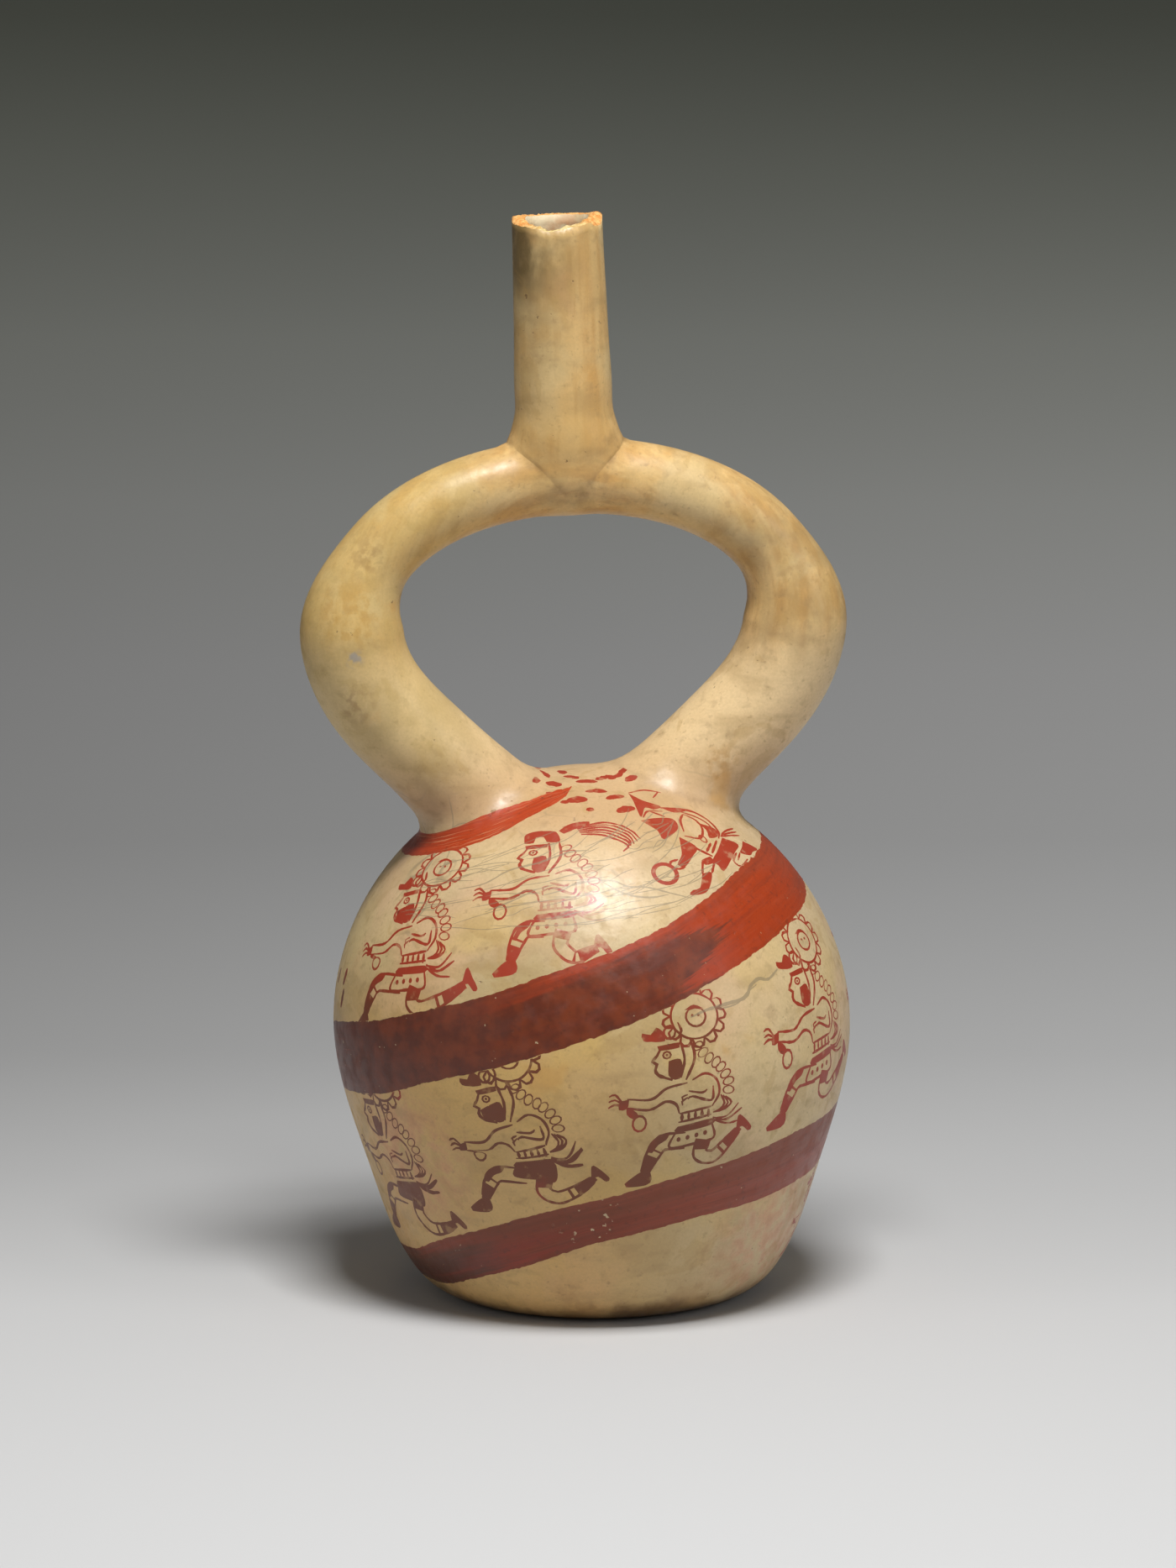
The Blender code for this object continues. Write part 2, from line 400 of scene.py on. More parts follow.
def inside_loops(points, loops):
    """Nonzero winding test of points against closed loops."""
    winding = np.zeros(len(points), int)
    for loop in loops:
        ends = np.roll(loop, -1, axis=0)
        for (x0, y0), (x1, y1) in zip(loop, ends):
            if y0 == y1:
                continue
            if y0 < y1:
                hit = (points[:, 1] >= y0) & (points[:, 1] < y1)
                sign = 1
            else:
                hit = (points[:, 1] >= y1) & (points[:, 1] < y0)
                sign = -1
            if not hit.any():
                continue
            cross = x0 + (points[hit, 1] - y0) * (x1 - x0) / (y1 - y0)
            winding[np.flatnonzero(hit)] += sign * (cross > points[hit, 0])
    return winding != 0


def near_any(points, others, reach):
    """True where a point has one of the others within its own reach."""
    tree = kdtree.KDTree(len(others))
    for i, (x, y) in enumerate(others):
        tree.insert((x, y, 0.0), i)
    tree.balance()
    close = np.zeros(len(points), bool)
    for i, (x, y) in enumerate(points):
        close[i] = tree.find((x, y, 0.0))[2] < reach[i]
    return close


def triangulate(points, loops):
    """Triangles of the points with every loop's edges kept; returns new points and triangles."""
    vertices = [Vector(point) for point in points]
    edges = []
    for loop in loops:
        first = len(vertices)
        vertices.extend(Vector(point) for point in loop)
        count = len(loop)
        edges.extend((first + i, first + (i + 1) % count) for i in range(count))
    made = delaunay_2d_cdt(vertices, edges, [], 0, 1e-5, False)
    corners = np.array([tuple(v) for v in made[0]])
    faces = np.array([tuple(face) for face in made[2] if len(face) == 3])
    a, b, c = (corners[faces[:, i]] for i in range(3))
    turn = (b[:, 0] - a[:, 0]) * (c[:, 1] - a[:, 1]) - (b[:, 1] - a[:, 1]) * (c[:, 0] - a[:, 0])
    flip = turn < 0.0
    faces[flip] = faces[flip][:, ::-1]
    return corners, faces


# Where the forms meet

def arch_frame(t):
    """Centre, outward and radius of the tube at places t along its line, in the arch's plane."""
    index = np.clip(t, 0.0, len(arch_line) - 1.000001)
    whole = index.astype(int)
    share = (index - whole)[..., None]
    centre = arch_line[whole] * (1.0 - share) + arch_line[whole + 1] * share
    slope = np.gradient(arch_line, axis=0)
    run = slope[whole] * (1.0 - share) + slope[np.minimum(whole + 1, len(slope) - 1)] * share
    run = run / np.linalg.norm(run, axis=-1, keepdims=True)
    outward = np.stack([-run[..., 1], run[..., 0]], -1)
    radius = arch_radii[whole] * (1.0 - share[..., 0]) + arch_radii[whole + 1] * share[..., 0]
    return centre, outward, radius


def arch_points(t, turn):
    """Points on the tube; turn 0 is its outer side and half a turn its inner side."""
    centre, outward, radius = arch_frame(t)
    flat = centre + outward * (radius * np.cos(turn))[..., None]
    own = np.stack([flat[..., 0], radius * np.sin(turn), flat[..., 1]], -1)
    return moved(own, arch_place)


def leg_foot(turns, left):
    """Where each line along the tube leaves the body, for one leg."""
    last = len(arch_line) - 1
    samples = np.linspace(0.0, 0.33 * last, 260)
    if not left:
        samples = last - samples
    found = np.zeros(len(turns))
    for i, turn in enumerate(turns):
        gap = body_distance(arch_points(samples, np.full(len(samples), turn)))
        out = np.flatnonzero((gap[:-1] < 0.0) & (gap[1:] >= 0.0))
        k = out[-1]
        share = gap[k] / (gap[k] - gap[k + 1])
        found[i] = samples[k] + share * (samples[k + 1] - samples[k])
    return found


def spout_points(place, turn):
    """Points on the spout's outer side; place counts along its outline from the rim down."""
    index = np.clip(place, 0.0, len(spout_line) - 1.000001)
    whole = index.astype(int)
    share = (index - whole)[..., None]
    at = spout_line[whole] * (1.0 - share) + spout_line[whole + 1] * share
    depth = at[..., 0] * np.sin(turn) / lip_flattening(at[..., 1])
    own = np.stack([at[..., 0] * np.cos(turn), depth, at[..., 1]], -1)
    return moved(own, spout_place)


def spout_foot(turns):
    samples = np.linspace(0.45, 0.98, 240) * (len(spout_line) - 1)
    found = np.zeros(len(turns))
    for i, turn in enumerate(turns):
        gap = arch_distance(spout_points(samples, np.full(len(samples), turn)))
        k = np.flatnonzero((gap[:-1] >= 0.0) & (gap[1:] < 0.0))[0]
        share = gap[k] / (gap[k] - gap[k + 1])
        found[i] = samples[k] + share * (samples[k + 1] - samples[k])
    return found


# Sheets

# Each sheet's own rectangle of the texture: left, bottom, width and height
body_cell = (0.01, 0.995, 0.98, -0.58)
arch_cell = (0.005, 0.205, 0.79, 0.19)
spout_cell = (0.805, 0.205, 0.185, 0.19)
rim_cell = (0.20, 0.01, 0.18, 0.05)
inside_cell = (0.42, 0.01, 0.50, 0.18)
underside_cell = (0.10, 0.10, 0.09, 0.09)


def in_cell(cell, across, up):
    """Texture places in a sheet's rectangle, from shares across and up it."""
    left, low, width, height = cell
    return np.stack([left + width * across, low + height * up], -1)


def ring_grid(rows, flip=False):
    """Triangles of a closed-ring grid: rows of equal count, each ring closed on itself."""
    rows_count, count = rows.shape[:2]
    faces = []
    for i in range(rows_count - 1):
        for j in range(count):
            a = i * count + j
            b = i * count + (j + 1) % count
            c = a + count
            d = b + count
            faces.append((a, b, d))
            faces.append((a, d, c))
    faces = np.array(faces)
    if flip:
        faces = faces[:, ::-1]
    return faces


def snapped(points, targets):
    """Each point moved onto the nearest of the target points, which must be close."""
    tree = kdtree.KDTree(len(targets))
    for i, target in enumerate(targets):
        tree.insert(target, i)
    tree.balance()
    out = points.copy()
    for i, point in enumerate(points):
        place, _, gap = tree.find(point)
        if gap > point_reach:
            raise RuntimeError("a ring misses its neighbour by %.2f mm" % (gap * 1000))
        out[i] = place
    return out


# Paint: every shape is a set of closed loops on the body, in (direction, height)

class Shape:
    def __init__(self, kind, loops):
        self.kind = kind
        self.loops = loops


def through(points, spacing):
    """A smooth open line through a few points, cut evenly."""
    points = np.array(points, float)
    if len(points) == 2:
        count = max(1, int(round(np.linalg.norm(points[1] - points[0]) / spacing)))
        t = np.linspace(0.0, 1.0, count + 1)[:, None]
        return points[0] * (1 - t) + points[1] * t
    padded = np.vstack([2 * points[0] - points[1], points, 2 * points[-1] - points[-2]])
    out = [points[0]]
    for i in range(1, len(padded) - 2):
        a, b, c, d = padded[i - 1:i + 3]
        count = max(1, int(round(np.linalg.norm(c - b) / spacing)))
        for k in range(1, count + 1):
            t = k / count
            out.append(0.5 * ((2 * b) + (c - a) * t + (2 * a - 5 * b + 4 * c - d) * t**2
                              + (3 * b - a - 3 * c + d) * t**3))
    return np.array(out)


def sides_of(path):
    """The way across a flat line at each of its points."""
    run = np.gradient(path, axis=0)
    run /= np.maximum(np.linalg.norm(run, axis=1)[:, None], 1e-9)
    return np.stack([-run[:, 1], run[:, 0]], 1)


class Drawing:
    """Brush strokes of one figure, in millimetres round its hip, x to its back and y up."""

    def __init__(self, spacing=1.1):
        self.loops = []
        self.spacing = spacing

    def line(self, points, width=0.75, taper=0.55):
        path = through(points, self.spacing)
        side = sides_of(path)
        along = np.linspace(0.0, 1.0, len(path))
        body = np.minimum(1.0, np.minimum(along, 1.0 - along) * 5.0)
        half = 0.56 * width * (taper + (1.0 - taper) * body) * rng.uniform(0.82, 1.22, len(path))
        left = path + side * half[:, None]
        right = path - side * half[:, None]
        self.loops.append([np.vstack([left, right[::-1]])])

    def patch(self, points, spacing=None):
        closed = through(list(points) + [points[0]], spacing or self.spacing)[:-1]
        self.loops.append([closed])

    def ring(self, centre, radius, width=0.75, squash=1.0):
        count = max(8, int(2 * math.pi * radius / self.spacing))
        turn = full_turn(count)
        round_way = np.stack([np.cos(turn), squash * np.sin(turn)], 1)
        outer = np.array(centre) + (radius + 0.5 * width) * round_way
        inner = np.array(centre) + (radius - 0.5 * width) * round_way[::-1]
        self.loops.append([outer, inner])

    def dot(self, centre, radius, squash=1.0):
        count = 7
        turn = full_turn(count)
        self.loops.append([np.array(centre) + radius * np.stack([np.cos(turn), squash * np.sin(turn)], 1)])

    def limb(self, points, widths, socks=None, line_width=0.7):
        """A limb as two outlines beside its bones; a sock fills it from one share to another."""
        path = through(points, self.spacing)
        side = sides_of(path)
        along = np.linspace(0.0, 1.0, len(path))
        half = np.interp(along, np.linspace(0.0, 1.0, len(widths)), widths)[:, None] * 0.5
        one = path + side * half
        two = path - side * half
        self.line(one[::2] if len(one) > 6 else one, line_width)
        self.line(two[::2] if len(two) > 6 else two, line_width)
        for low, high in socks or ():
            share = np.linspace(low, high, max(2, int((high - low) * len(path)) + 1))
            first = np.stack([np.interp(share, along, one[:, i]) for i in (0, 1)], 1)
            second = np.stack([np.interp(share, along, two[:, i]) for i in (0, 1)], 1)
            self.loops.append([np.vstack([first, second[::-1]])])

    def beads(self, points, radius, count, line_width=0.55):
        """A rope of oval beads, each drawn round, along a curve."""
        path = through(points, 0.5)
        turn = full_turn(10)
        for k in range(count):
            i = int((k + 0.5) / count * (len(path) - 1))
            run = path[min(i + 1, len(path) - 1)] - path[i - 1]
            run /= np.linalg.norm(run)
            side = np.array([-run[1], run[0]])
            oval = np.cos(turn)[:, None] * side * radius * 0.95 + np.sin(turn)[:, None] * run * radius * 0.62
            self.loops.append([path[i] + oval, path[i] + (oval * (1.0 - line_width / radius))[::-1]])

    def swell(self, first, centre, factor):
        """Enlarge the strokes drawn since a count, about a centre."""
        middle = np.array(centre)
        for loops in self.loops[first:]:
            for loop in loops:
                loop[:] = middle + (loop - middle) * factor

    def bend(self, lean):
        """Lean everything above the waist forward about the belt."""
        for loops in self.loops:
            for loop in loops:
                share = np.clip((loop[:, 1] - 2.0) / 5.0, 0.0, 1.0)
                cos = np.cos(lean * share)
                sin = np.sin(lean * share)
                x = loop[:, 0].copy()
                y = loop[:, 1] - 3.0
                loop[:, 0] = x * cos - y * sin
                loop[:, 1] = x * sin + y * cos + 3.0


def ring_headdress(d, centre, radius):
    """A ring edged with petals, with a small disc inside."""
    d.ring(centre, radius, 0.62)
    petals = 13
    for k in range(petals):
        start = 2.0 * math.pi * k / petals + 0.2
        stations = ((radius, 0.0), (radius + 1.9, 0.22), (radius + 2.3, 0.5), (radius + 1.9, 0.78),
                    (radius, 1.0))
        path = []
        for reach, share in stations:
            turn = start + share * 2.0 * math.pi / petals
            path.append((centre[0] + reach * math.cos(turn), centre[1] + reach * math.sin(turn)))
        d.line(path, 0.62)
    inner = (centre[0] + 0.3, centre[1] - 0.4)
    d.ring(inner, 0.42 * radius, 0.6)
    d.dot((inner[0] - 0.9, inner[1] + 0.4), 0.4)
    d.dot((inner[0] + 0.7, inner[1] + 0.4), 0.4)
    d.patch([(inner[0] - 2.9, inner[1] + 2.2), (inner[0] - 0.2, inner[1] + 3.4),
             (inner[0] + 2.6, inner[1] + 2.0), (inner[0] + 0.8, inner[1] + 2.7),
             (inner[0] - 1.8, inner[1] + 2.2)])


def runner(style, plain=False):
    """A generic runner going left: pouch in the hand, headdress, belt, kilt and painted legs."""
    d = Drawing(1.4 if plain else 1.0)
    stride = style.get("stride", 1.0)
    lift = style.get("lift", 0.0)
    # Front leg, with a dark knee, a band below it, and a dark shin and foot
    ankle = (-13.8 * stride, -12.4)
    d.limb([(-2.5, -3.0), (-9.4 * stride, -3.4), (-12.0 * stride, -7.2), ankle], (4.6, 4.6, 3.8, 2.4),
           [(0.70, 1.0), (0.56, 0.60)])
    d.patch([(-7.6 * stride, -1.0), (-11.2 * stride, -2.0), (-13.4 * stride, -6.2), (-12.2 * stride, -6.4),
             (-10.6 * stride, -4.0), (-8.4 * stride, -2.6)])
    d.patch([(ankle[0] + 1.4, ankle[1] + 0.8), (ankle[0] - 1.2, ankle[1] + 0.2),
             (ankle[0] - 5.4, ankle[1] - 3.6), (ankle[0] - 4.8, ankle[1] - 4.6),
             (ankle[0] + 0.8, ankle[1] - 3.8), (ankle[0] + 2.2, ankle[1] - 2.0)])
    # Back leg, bent under the kilt and thrown out behind
    heel = (14.8 * stride, -1.4 + lift)
    d.limb([(2.8, -3.2), (2.2, -7.4), (6.0, -8.8 + 0.3 * lift), (10.6 * stride, -5.4 + 0.7 * lift), heel],
           (4.2, 3.8, 3.6, 2.9, 2.0), [(0.66, 1.0), (0.56, 0.60), (0.0, 0.14)])
    d.patch([(heel[0] - 1.2, heel[1] - 0.6), (heel[0] - 0.8, heel[1] + 3.6), (heel[0] + 0.8, heel[1] + 3.2),
             (heel[0] + 4.2, heel[1] - 0.6), (heel[0] + 3.0, heel[1] - 1.6), (heel[0] + 0.8, heel[1] + 0.2)])
    # Kilt, sash and belt
    if style.get("dark_kilt"):
        d.patch([(-5.0, 0.6), (4.8, 2.0), (6.4, -1.2), (5.4, -4.6), (1.2, -4.0), (-6.0, -3.4)])
    else:
        d.line([(-5.0, 0.4), (-6.8, -4.8), (0.0, -4.2), (5.8, -3.0), (4.8, 1.6)], 0.75)
        for i in range(4):
            d.dot((-4.4 + 2.5 * i, -2.6 + 0.45 * i), 0.62, 1.2)
    d.patch([(-5.0, 1.2), (4.8, 2.7), (5.0, 0.9), (-5.4, -0.6)])
    d.line([(-4.9, 2.4), (4.6, 3.9)], 0.65)
    d.line([(-4.7, 4.9), (4.4, 6.2)], 0.65)
    for i in range(5):
        x = -4.0 + 1.9 * i
        d.line([(x, 5.0 + 0.15 * i), (x + 0.1, 2.6 + 0.15 * i)], 0.85)
    # Trunk and the far arm held out, with the hand and its pouch
    d.line([(-4.8, 5.0), (-5.8, 7.6), (-8.8, 8.6), (-13.2, 6.4), (-19.6, 7.0)], 0.7)
    d.line([(-2.8, 13.6), (-8.6, 12.4), (-13.0, 9.4), (-19.8, 9.6)], 0.7)
    d.line([(4.6, 6.2), (6.7, 9.8), (5.8, 13.8), (2.4, 15.8), (-1.4, 14.2)], 0.7)
    d.patch([(-19.2, 9.7), (-21.8, 8.6), (-22.0, 6.4), (-19.6, 6.8)])
    for i in range(3):
        d.line([(-20.8, 8.2 - 0.3 * i), (-23.4, 10.8 - 1.5 * i), (-25.2, 10.2 - 1.7 * i)], 0.6)
    d.patch([(-19.8, 6.9), (-17.8, 6.4), (-16.2, 4.8), (-17.6, 3.7), (-19.6, 5.0)])
    d.ring((-15.8, 2.4), 1.9, 0.62, 1.2)
    # Near arm, bent over the chest
    d.line([(4.8, 12.0), (4.4, 8.0), (-1.2, 9.6), (-2.6, 8.9)], 0.7)
    d.line([(3.0, 11.2), (1.6, 10.4), (-2.4, 11.2)], 0.62)
    for i in range(2):
        d.line([(-2.6, 10.2 - 0.8 * i), (-4.2, 9.6 - 1.3 * i), (-4.0, 8.4 - 1.2 * i)], 0.55)
    # Head: a plain mask-like profile with a dark cheek, an eye and a headband
    head = len(d.loops)
    d.line([(-9.8, 22.4), (-10.6, 20.8), (-11.8, 19.4), (-10.6, 18.6), (-11.0, 17.4), (-10.2, 16.0),
            (-6.8, 14.6)], 0.75)
    d.patch([(-7.8, 19.2), (-4.9, 19.6), (-4.4, 15.6), (-6.2, 14.6), (-7.8, 15.8)])
    if style.get("dark_face"):
        d.patch([(-10.4, 18.2), (-7.4, 19.0), (-7.4, 15.2), (-9.8, 15.8)])
    d.ring((-8.2, 20.8), 0.95, 0.55, 0.85)
    d.dot((-8.2, 20.8), 0.36)
    d.patch([(-10.6, 23.2), (-5.0, 23.7), (-5.0, 22.5), (-10.2, 22.1)])
    d.line([(-4.8, 24.0), (-3.9, 19.4), (-4.8, 15.0)], 0.62)
    d.line([(-2.3, 24.4), (-1.4, 19.6), (-3.6, 14.4)], 0.62)
    # Headdress
    crest = style.get("crest", "ring")
    if crest == "ring":
        d.patch([(-10.9, 24.2), (-14.0, 24.9), (-14.4, 26.8), (-12.2, 26.3), (-10.8, 28.2),
                 (-8.8, 26.6), (-8.6, 24.4)])
        d.ring((-7.4, 26.6), 1.5, 0.6, 1.15)
        d.line([(-6.0, 24.2), (-4.4, 26.6), (-5.2, 29.0)], 0.6)
        ring_headdress(d, (-0.6, 30.6), 6.3)
    else:
        d.patch([(-11.0, 24.0), (-11.2, 27.6), (-6.6, 28.6), (-3.6, 28.0), (-2.2, 24.6), (-5.4, 24.4),
                 (-6.4, 26.2), (-8.4, 26.0), (-8.6, 24.2)])
        d.patch([(-3.0, 28.6), (-0.4, 31.6), (4.2, 33.0), (3.6, 31.0), (0.6, 29.2), (-1.6, 27.4)])
        for i in range(6):
            start = (1.2 + 0.3 * i, 30.0 - 0.5 * i)
            d.line([start, (8.6, 33.6 - 1.1 * i), (14.6, 32.6 - 1.3 * i),
                    (18.0 - 0.9 * i, 29.6 - 1.2 * i)], 0.6)
    d.swell(head, (-5.4, 14.4), 1.2)
    # Rope of beads down the back and the strings at its end and at the belt
    d.beads([(0.0, 24.8), (3.0, 20.8), (7.0, 17.6), (9.6, 12.8), (9.4, 8.8)], 2.1, 6 if plain else 8)
    for i in range(3):
        d.line([(8.6 - 0.7 * i, 8.6 + 0.3 * i), (10.6 - 1.1 * i, 6.6), (8.6 - 0.8 * i, 5.0),
                (5.0, 4.4)], 0.6)
    thick = 1.0 if style.get("dark_kilt") else 0.6
    d.line([(5.0, 3.0), (9.2, 1.8), (14.2, 4.4)], thick)
    d.line([(5.0, 2.4), (9.6, 0.6), (13.8, 0.9)], thick)
    d.line([(5.0, 2.7), (9.4, 2.8), (13.0, 6.0)], 0.5)
    d.bend(math.radians(style.get("lean", 0.0)))
    return d


def bending_runner():
    """A runner bent low beside the band, with a pointed cap and a ring held out in front."""
    d = Drawing(1.0)
    # Pointed cap with its feather, a plain dark head below it, and a lock behind
    d.patch([(-4.6, 25.2), (-3.4, 20.4), (-0.4, 16.0), (-3.6, 15.6), (-5.2, 17.2), (-9.2, 14.2),
             (-7.8, 18.0), (-6.2, 21.2)])
    d.line([(-4.4, 25.3), (0.4, 24.3), (4.0, 21.0)], 0.5)
    d.line([(0.4, 20.2), (3.6, 21.6)], 0.5)
    d.patch([(-10.4, 13.2), (-6.0, 12.4), (-1.0, 10.4), (-2.4, 6.6), (-9.0, 4.6), (-8.6, 7.8), (-9.4, 10.4)])
    d.line([(-8.8, 13.9), (-5.6, 15.6), (-1.6, 14.0)], 0.6)
    d.line([(-5.2, 15.4), (-2.6, 11.8)], 0.6)
    # Back, shoulder and the dark cloth over it
    d.line([(-1.0, 15.5), (4.0, 13.8), (8.4, 11.4), (10.7, 7.6), (10.4, 3.4), (8.2, 1.0)], 0.75)
    d.line([(4.0, 12.4), (7.6, 9.4), (9.2, 6.4), (8.6, 3.0)], 0.6)
    d.patch([(-0.8, 15.4), (3.6, 13.9), (6.4, 12.6), (1.6, 12.6)])
    d.patch([(5.4, 7.6), (10.0, 4.6), (8.6, 1.8), (5.0, 1.6), (6.4, 4.4)])
    d.line([(3.8, 11.4), (6.0, 8.4), (5.4, 5.0), (1.8, 2.0), (-2.4, 3.8)], 0.6)
    d.line([(3.8, 11.4), (0.8, 9.2), (-1.4, 5.2)], 0.6)
    d.ring((2.6, 1.6), 1.0, 0.5, 1.3)
    # Arm down to the ring that it holds
    d.patch([(-4.2, 4.0), (-1.6, -0.6), (-5.0, -3.0), (-9.2, -5.2), (-11.0, -4.0), (-7.8, -1.6),
             (-5.8, 1.4)])
    d.line([(-9.8, -2.6), (-12.4, -2.6), (-13.4, -4.0)], 0.6)
    d.line([(-9.2, -5.2), (-11.3, -5.4), (-12.6, -4.6)], 0.6)
    d.ring((-16.2, -5.2), 3.4, 1.3, 0.92)
    # Belly line, belt and dark kilt with its tassels
    d.line([(-4.0, 2.4), (-1.6, -1.4), (1.2, -4.4)], 0.75)
    d.line([(4.0, -0.2), (0.4, -2.6)], 0.65)
    d.line([(6.8, 0.4), (1.8, -3.4)], 0.65)
    d.patch([(9.8, 1.2), (14.2, -1.5), (10.2, -4.2), (6.4, -6.6), (1.4, -9.4), (1.0, -7.4), (0.2, -5.6),
             (4.4, -2.8)])
    for rise in (4.8, 3.4, 2.0):
        d.line([(9.6, 1.6), (13.4, 0.6 * rise + 0.6), (18.6, rise)], 0.6)
    # Near leg, its knee light, its shin and foot dark
    d.patch([(0.4, -4.2), (-3.2, -4.8), (-3.0, -6.4), (0.4, -6.2)])
    d.line([(-3.0, -5.0), (-5.8, -8.7)], 0.65)
    d.line([(0.6, -6.0), (-2.7, -9.1)], 0.65)
    d.patch([(-5.8, -8.6), (-2.7, -9.0), (-6.6, -13.2), (-9.6, -14.2), (-13.4, -13.4), (-11.6, -12.3),
             (-9.2, -12.3)])
    # Far leg, thrown out behind beside the band
    d.line([(10.8, -4.3), (7.4, -6.8), (9.0, -8.8), (13.6, -6.6)], 0.65)
    d.line([(12.3, -4.3), (9.2, -6.8)], 0.5)
    d.patch([(17.6, -0.2), (22.4, -2.8), (18.4, -4.2), (16.0, -5.4), (12.4, -4.4), (14.8, -2.6)])
    return d


def place_drawing(drawing, direction, height, tilt=0.0, scale=1.0):
    """The drawing's loops laid on the body, true to size, with its hip at a direction and height."""
    line = body_line
    hip_radius = np.interp(-height, -line[:, 1], line[:, 0])
    beside = int(np.clip(np.searchsorted(-line[:, 1], -height), 1, len(line) - 2))
    run = line[beside + 1] - line[beside - 1]
    run = run / np.linalg.norm(run)
    outward = np.array([math.cos(direction), math.sin(direction), 0.0])
    east = np.array([-outward[1], outward[0], 0.0])
    up = -(run[0] * outward + np.array([0.0, 0.0, run[1]]))
    hip = hip_radius * outward + np.array([0.0, 0.0, height])
    cos = math.cos(tilt)
    sin = math.sin(tilt)
    placed = []
    for loops in drawing.loops:
        out = []
        for loop in loops:
            wide = loop[:, 0] * scale * 0.001
            tall = loop[:, 1] * scale * 0.001
            x = wide * cos - tall * sin
            y = wide * sin + tall * cos
            flat = hip + x[:, None] * east + y[:, None] * up
            flat_radius = np.hypot(flat[:, 0], flat[:, 1])
            _, where, share = polyline_distance(np.stack([flat_radius, flat[:, 2]], 1), line)
            z = line[where, 1] + share * (line[where + 1, 1] - line[where, 1])
            z = np.clip(z, 0.0006, body_height - 0.0002)
            turn = np.arctan2(flat[:, 1], flat[:, 0])
            out.append(np.stack([turn, z], 1))
        placed.append(Shape("line", out))
    return placed


# The spiral band: turns of one right-handed climb, as (direction in degrees, low, high in mm)
spiral_stations = (
    (-352, 2.2, 4.0),
    (-300, 2.6, 8.5),
    (-240, 3.6, 11.5),
    (-200, 4.6, 12.0),
    (-158, 6.4, 15.0),
    (-139, 8.4, 20.4),
    (-110, 17.2, 30.6),
    (-88, 25.0, 37.4),
    (-63, 30.2, 43.9),
    (-34, 33.4, 49.4),
    (0, 36.4, 52.0),
    (60, 41.0, 57.0),
    (120, 47.0, 63.5),
    (170, 52.5, 69.0),
    (209, 58.4, 77.8),
    (236, 67.8, 86.8),
    (264, 78.3, 97.8),
    (287, 87.6, 105.8),
    (317, 98.9, 115.2),
    (353, 105.4, 119.0),
    (420, 109.5, 119.5),
    (490, 112.6, 119.8),
    (550, 116.2, 122.4),
    (573, 120.6, 127.6),
    (588, 125.0, 131.8),
    (600, 130.2, 134.6),
    (613, 133.9, 135.3),
)


def spiral_edge(column):
    """One edge of the band as closely spaced (direction, height), with a hand's slight waver."""
    stations = np.array(spiral_stations, float)
    turn = np.radians(stations[:, 0])
    mid = through(np.stack([turn * 50.0, stations[:, column]], 1), 0.9)
    turn = mid[:, 0] / 50.0
    waver = 0.14 * np.sin(turn * 11.0 + column) + 0.06 * np.sin(turn * 47.0 + 2.0 * column)
    waver += 0.07 * rng.standard_normal(len(turn))
    return np.stack([turn, (mid[:, 1] + waver) * 0.001], 1)


# The crown's dabs: direction in degrees, height, length and width in mm, and tilt in degrees
dab_places = (
    (150, 135.0, 5.0, 1.6, 10), (176, 135.5, 4.2, 2.2, -12), (203, 135.8, 5.8, 1.4, 5),
    (214, 134.6, 3.2, 2.4, 0), (232, 135.3, 4.6, 2.5, 8), (244, 134.0, 6.0, 1.5, -6),
    (254, 132.8, 2.2, 1.6, 0), (262, 133.3, 5.4, 2.6, 10), (271, 131.6, 2.0, 1.5, 0),
    (277, 134.7, 5.6, 1.7, -4), (290, 133.6, 5.2, 1.6, 6), (292, 131.4, 5.4, 2.3, 12),
    (312, 136.2, 4.4, 1.6, -8), (322, 135.4, 4.0, 1.8, -14), (20, 135.5, 5.6, 1.5, 12),
    (50, 135.0, 4.8, 2.2, -8), (80, 135.4, 5.8, 1.5, 4), (108, 134.6, 4.8, 2.1, 10),
    (268, 136.1, 5.6, 1.9, 0), (296, 136.4, 5.2, 1.8, 8), (240, 136.5, 4.8, 1.6, -6),
    (330, 136.2, 4.6, 1.6, -6), (200, 136.7, 4.2, 1.8, 0),
)


def dabs():
    """Small strokes of slip scattered over the crown."""
    marks = []
    for direction, height, length, width, tilt in dab_places:
        d = Drawing(0.7)
        half = 0.5 * length
        slope = math.radians(tilt)
        ends = [(-half, -half * math.sin(slope)), (0.0, 0.35), (half, half * math.sin(slope))]
        d.line(ends, width, 0.25)
        marks += place_drawing(d, math.radians(direction), height * 0.001)
    return marks


def surface_stroke(stations, width, kind):
    """A thin stroke through (direction in degrees, height in mm) stations."""
    stations = np.array(stations, float)
    radius = 1000.0 * np.interp(-stations[:, 1].mean() * 0.001, -body_line[:, 1], body_line[:, 0])
    d = Drawing(0.8)
    d.line(np.stack([np.radians(stations[:, 0]) * radius, stations[:, 1]], 1), width, 0.4)
    loops = d.loops[0]
    return Shape(kind, [np.stack([loop[:, 0] / radius, loop[:, 1] * 0.001], 1) for loop in loops])


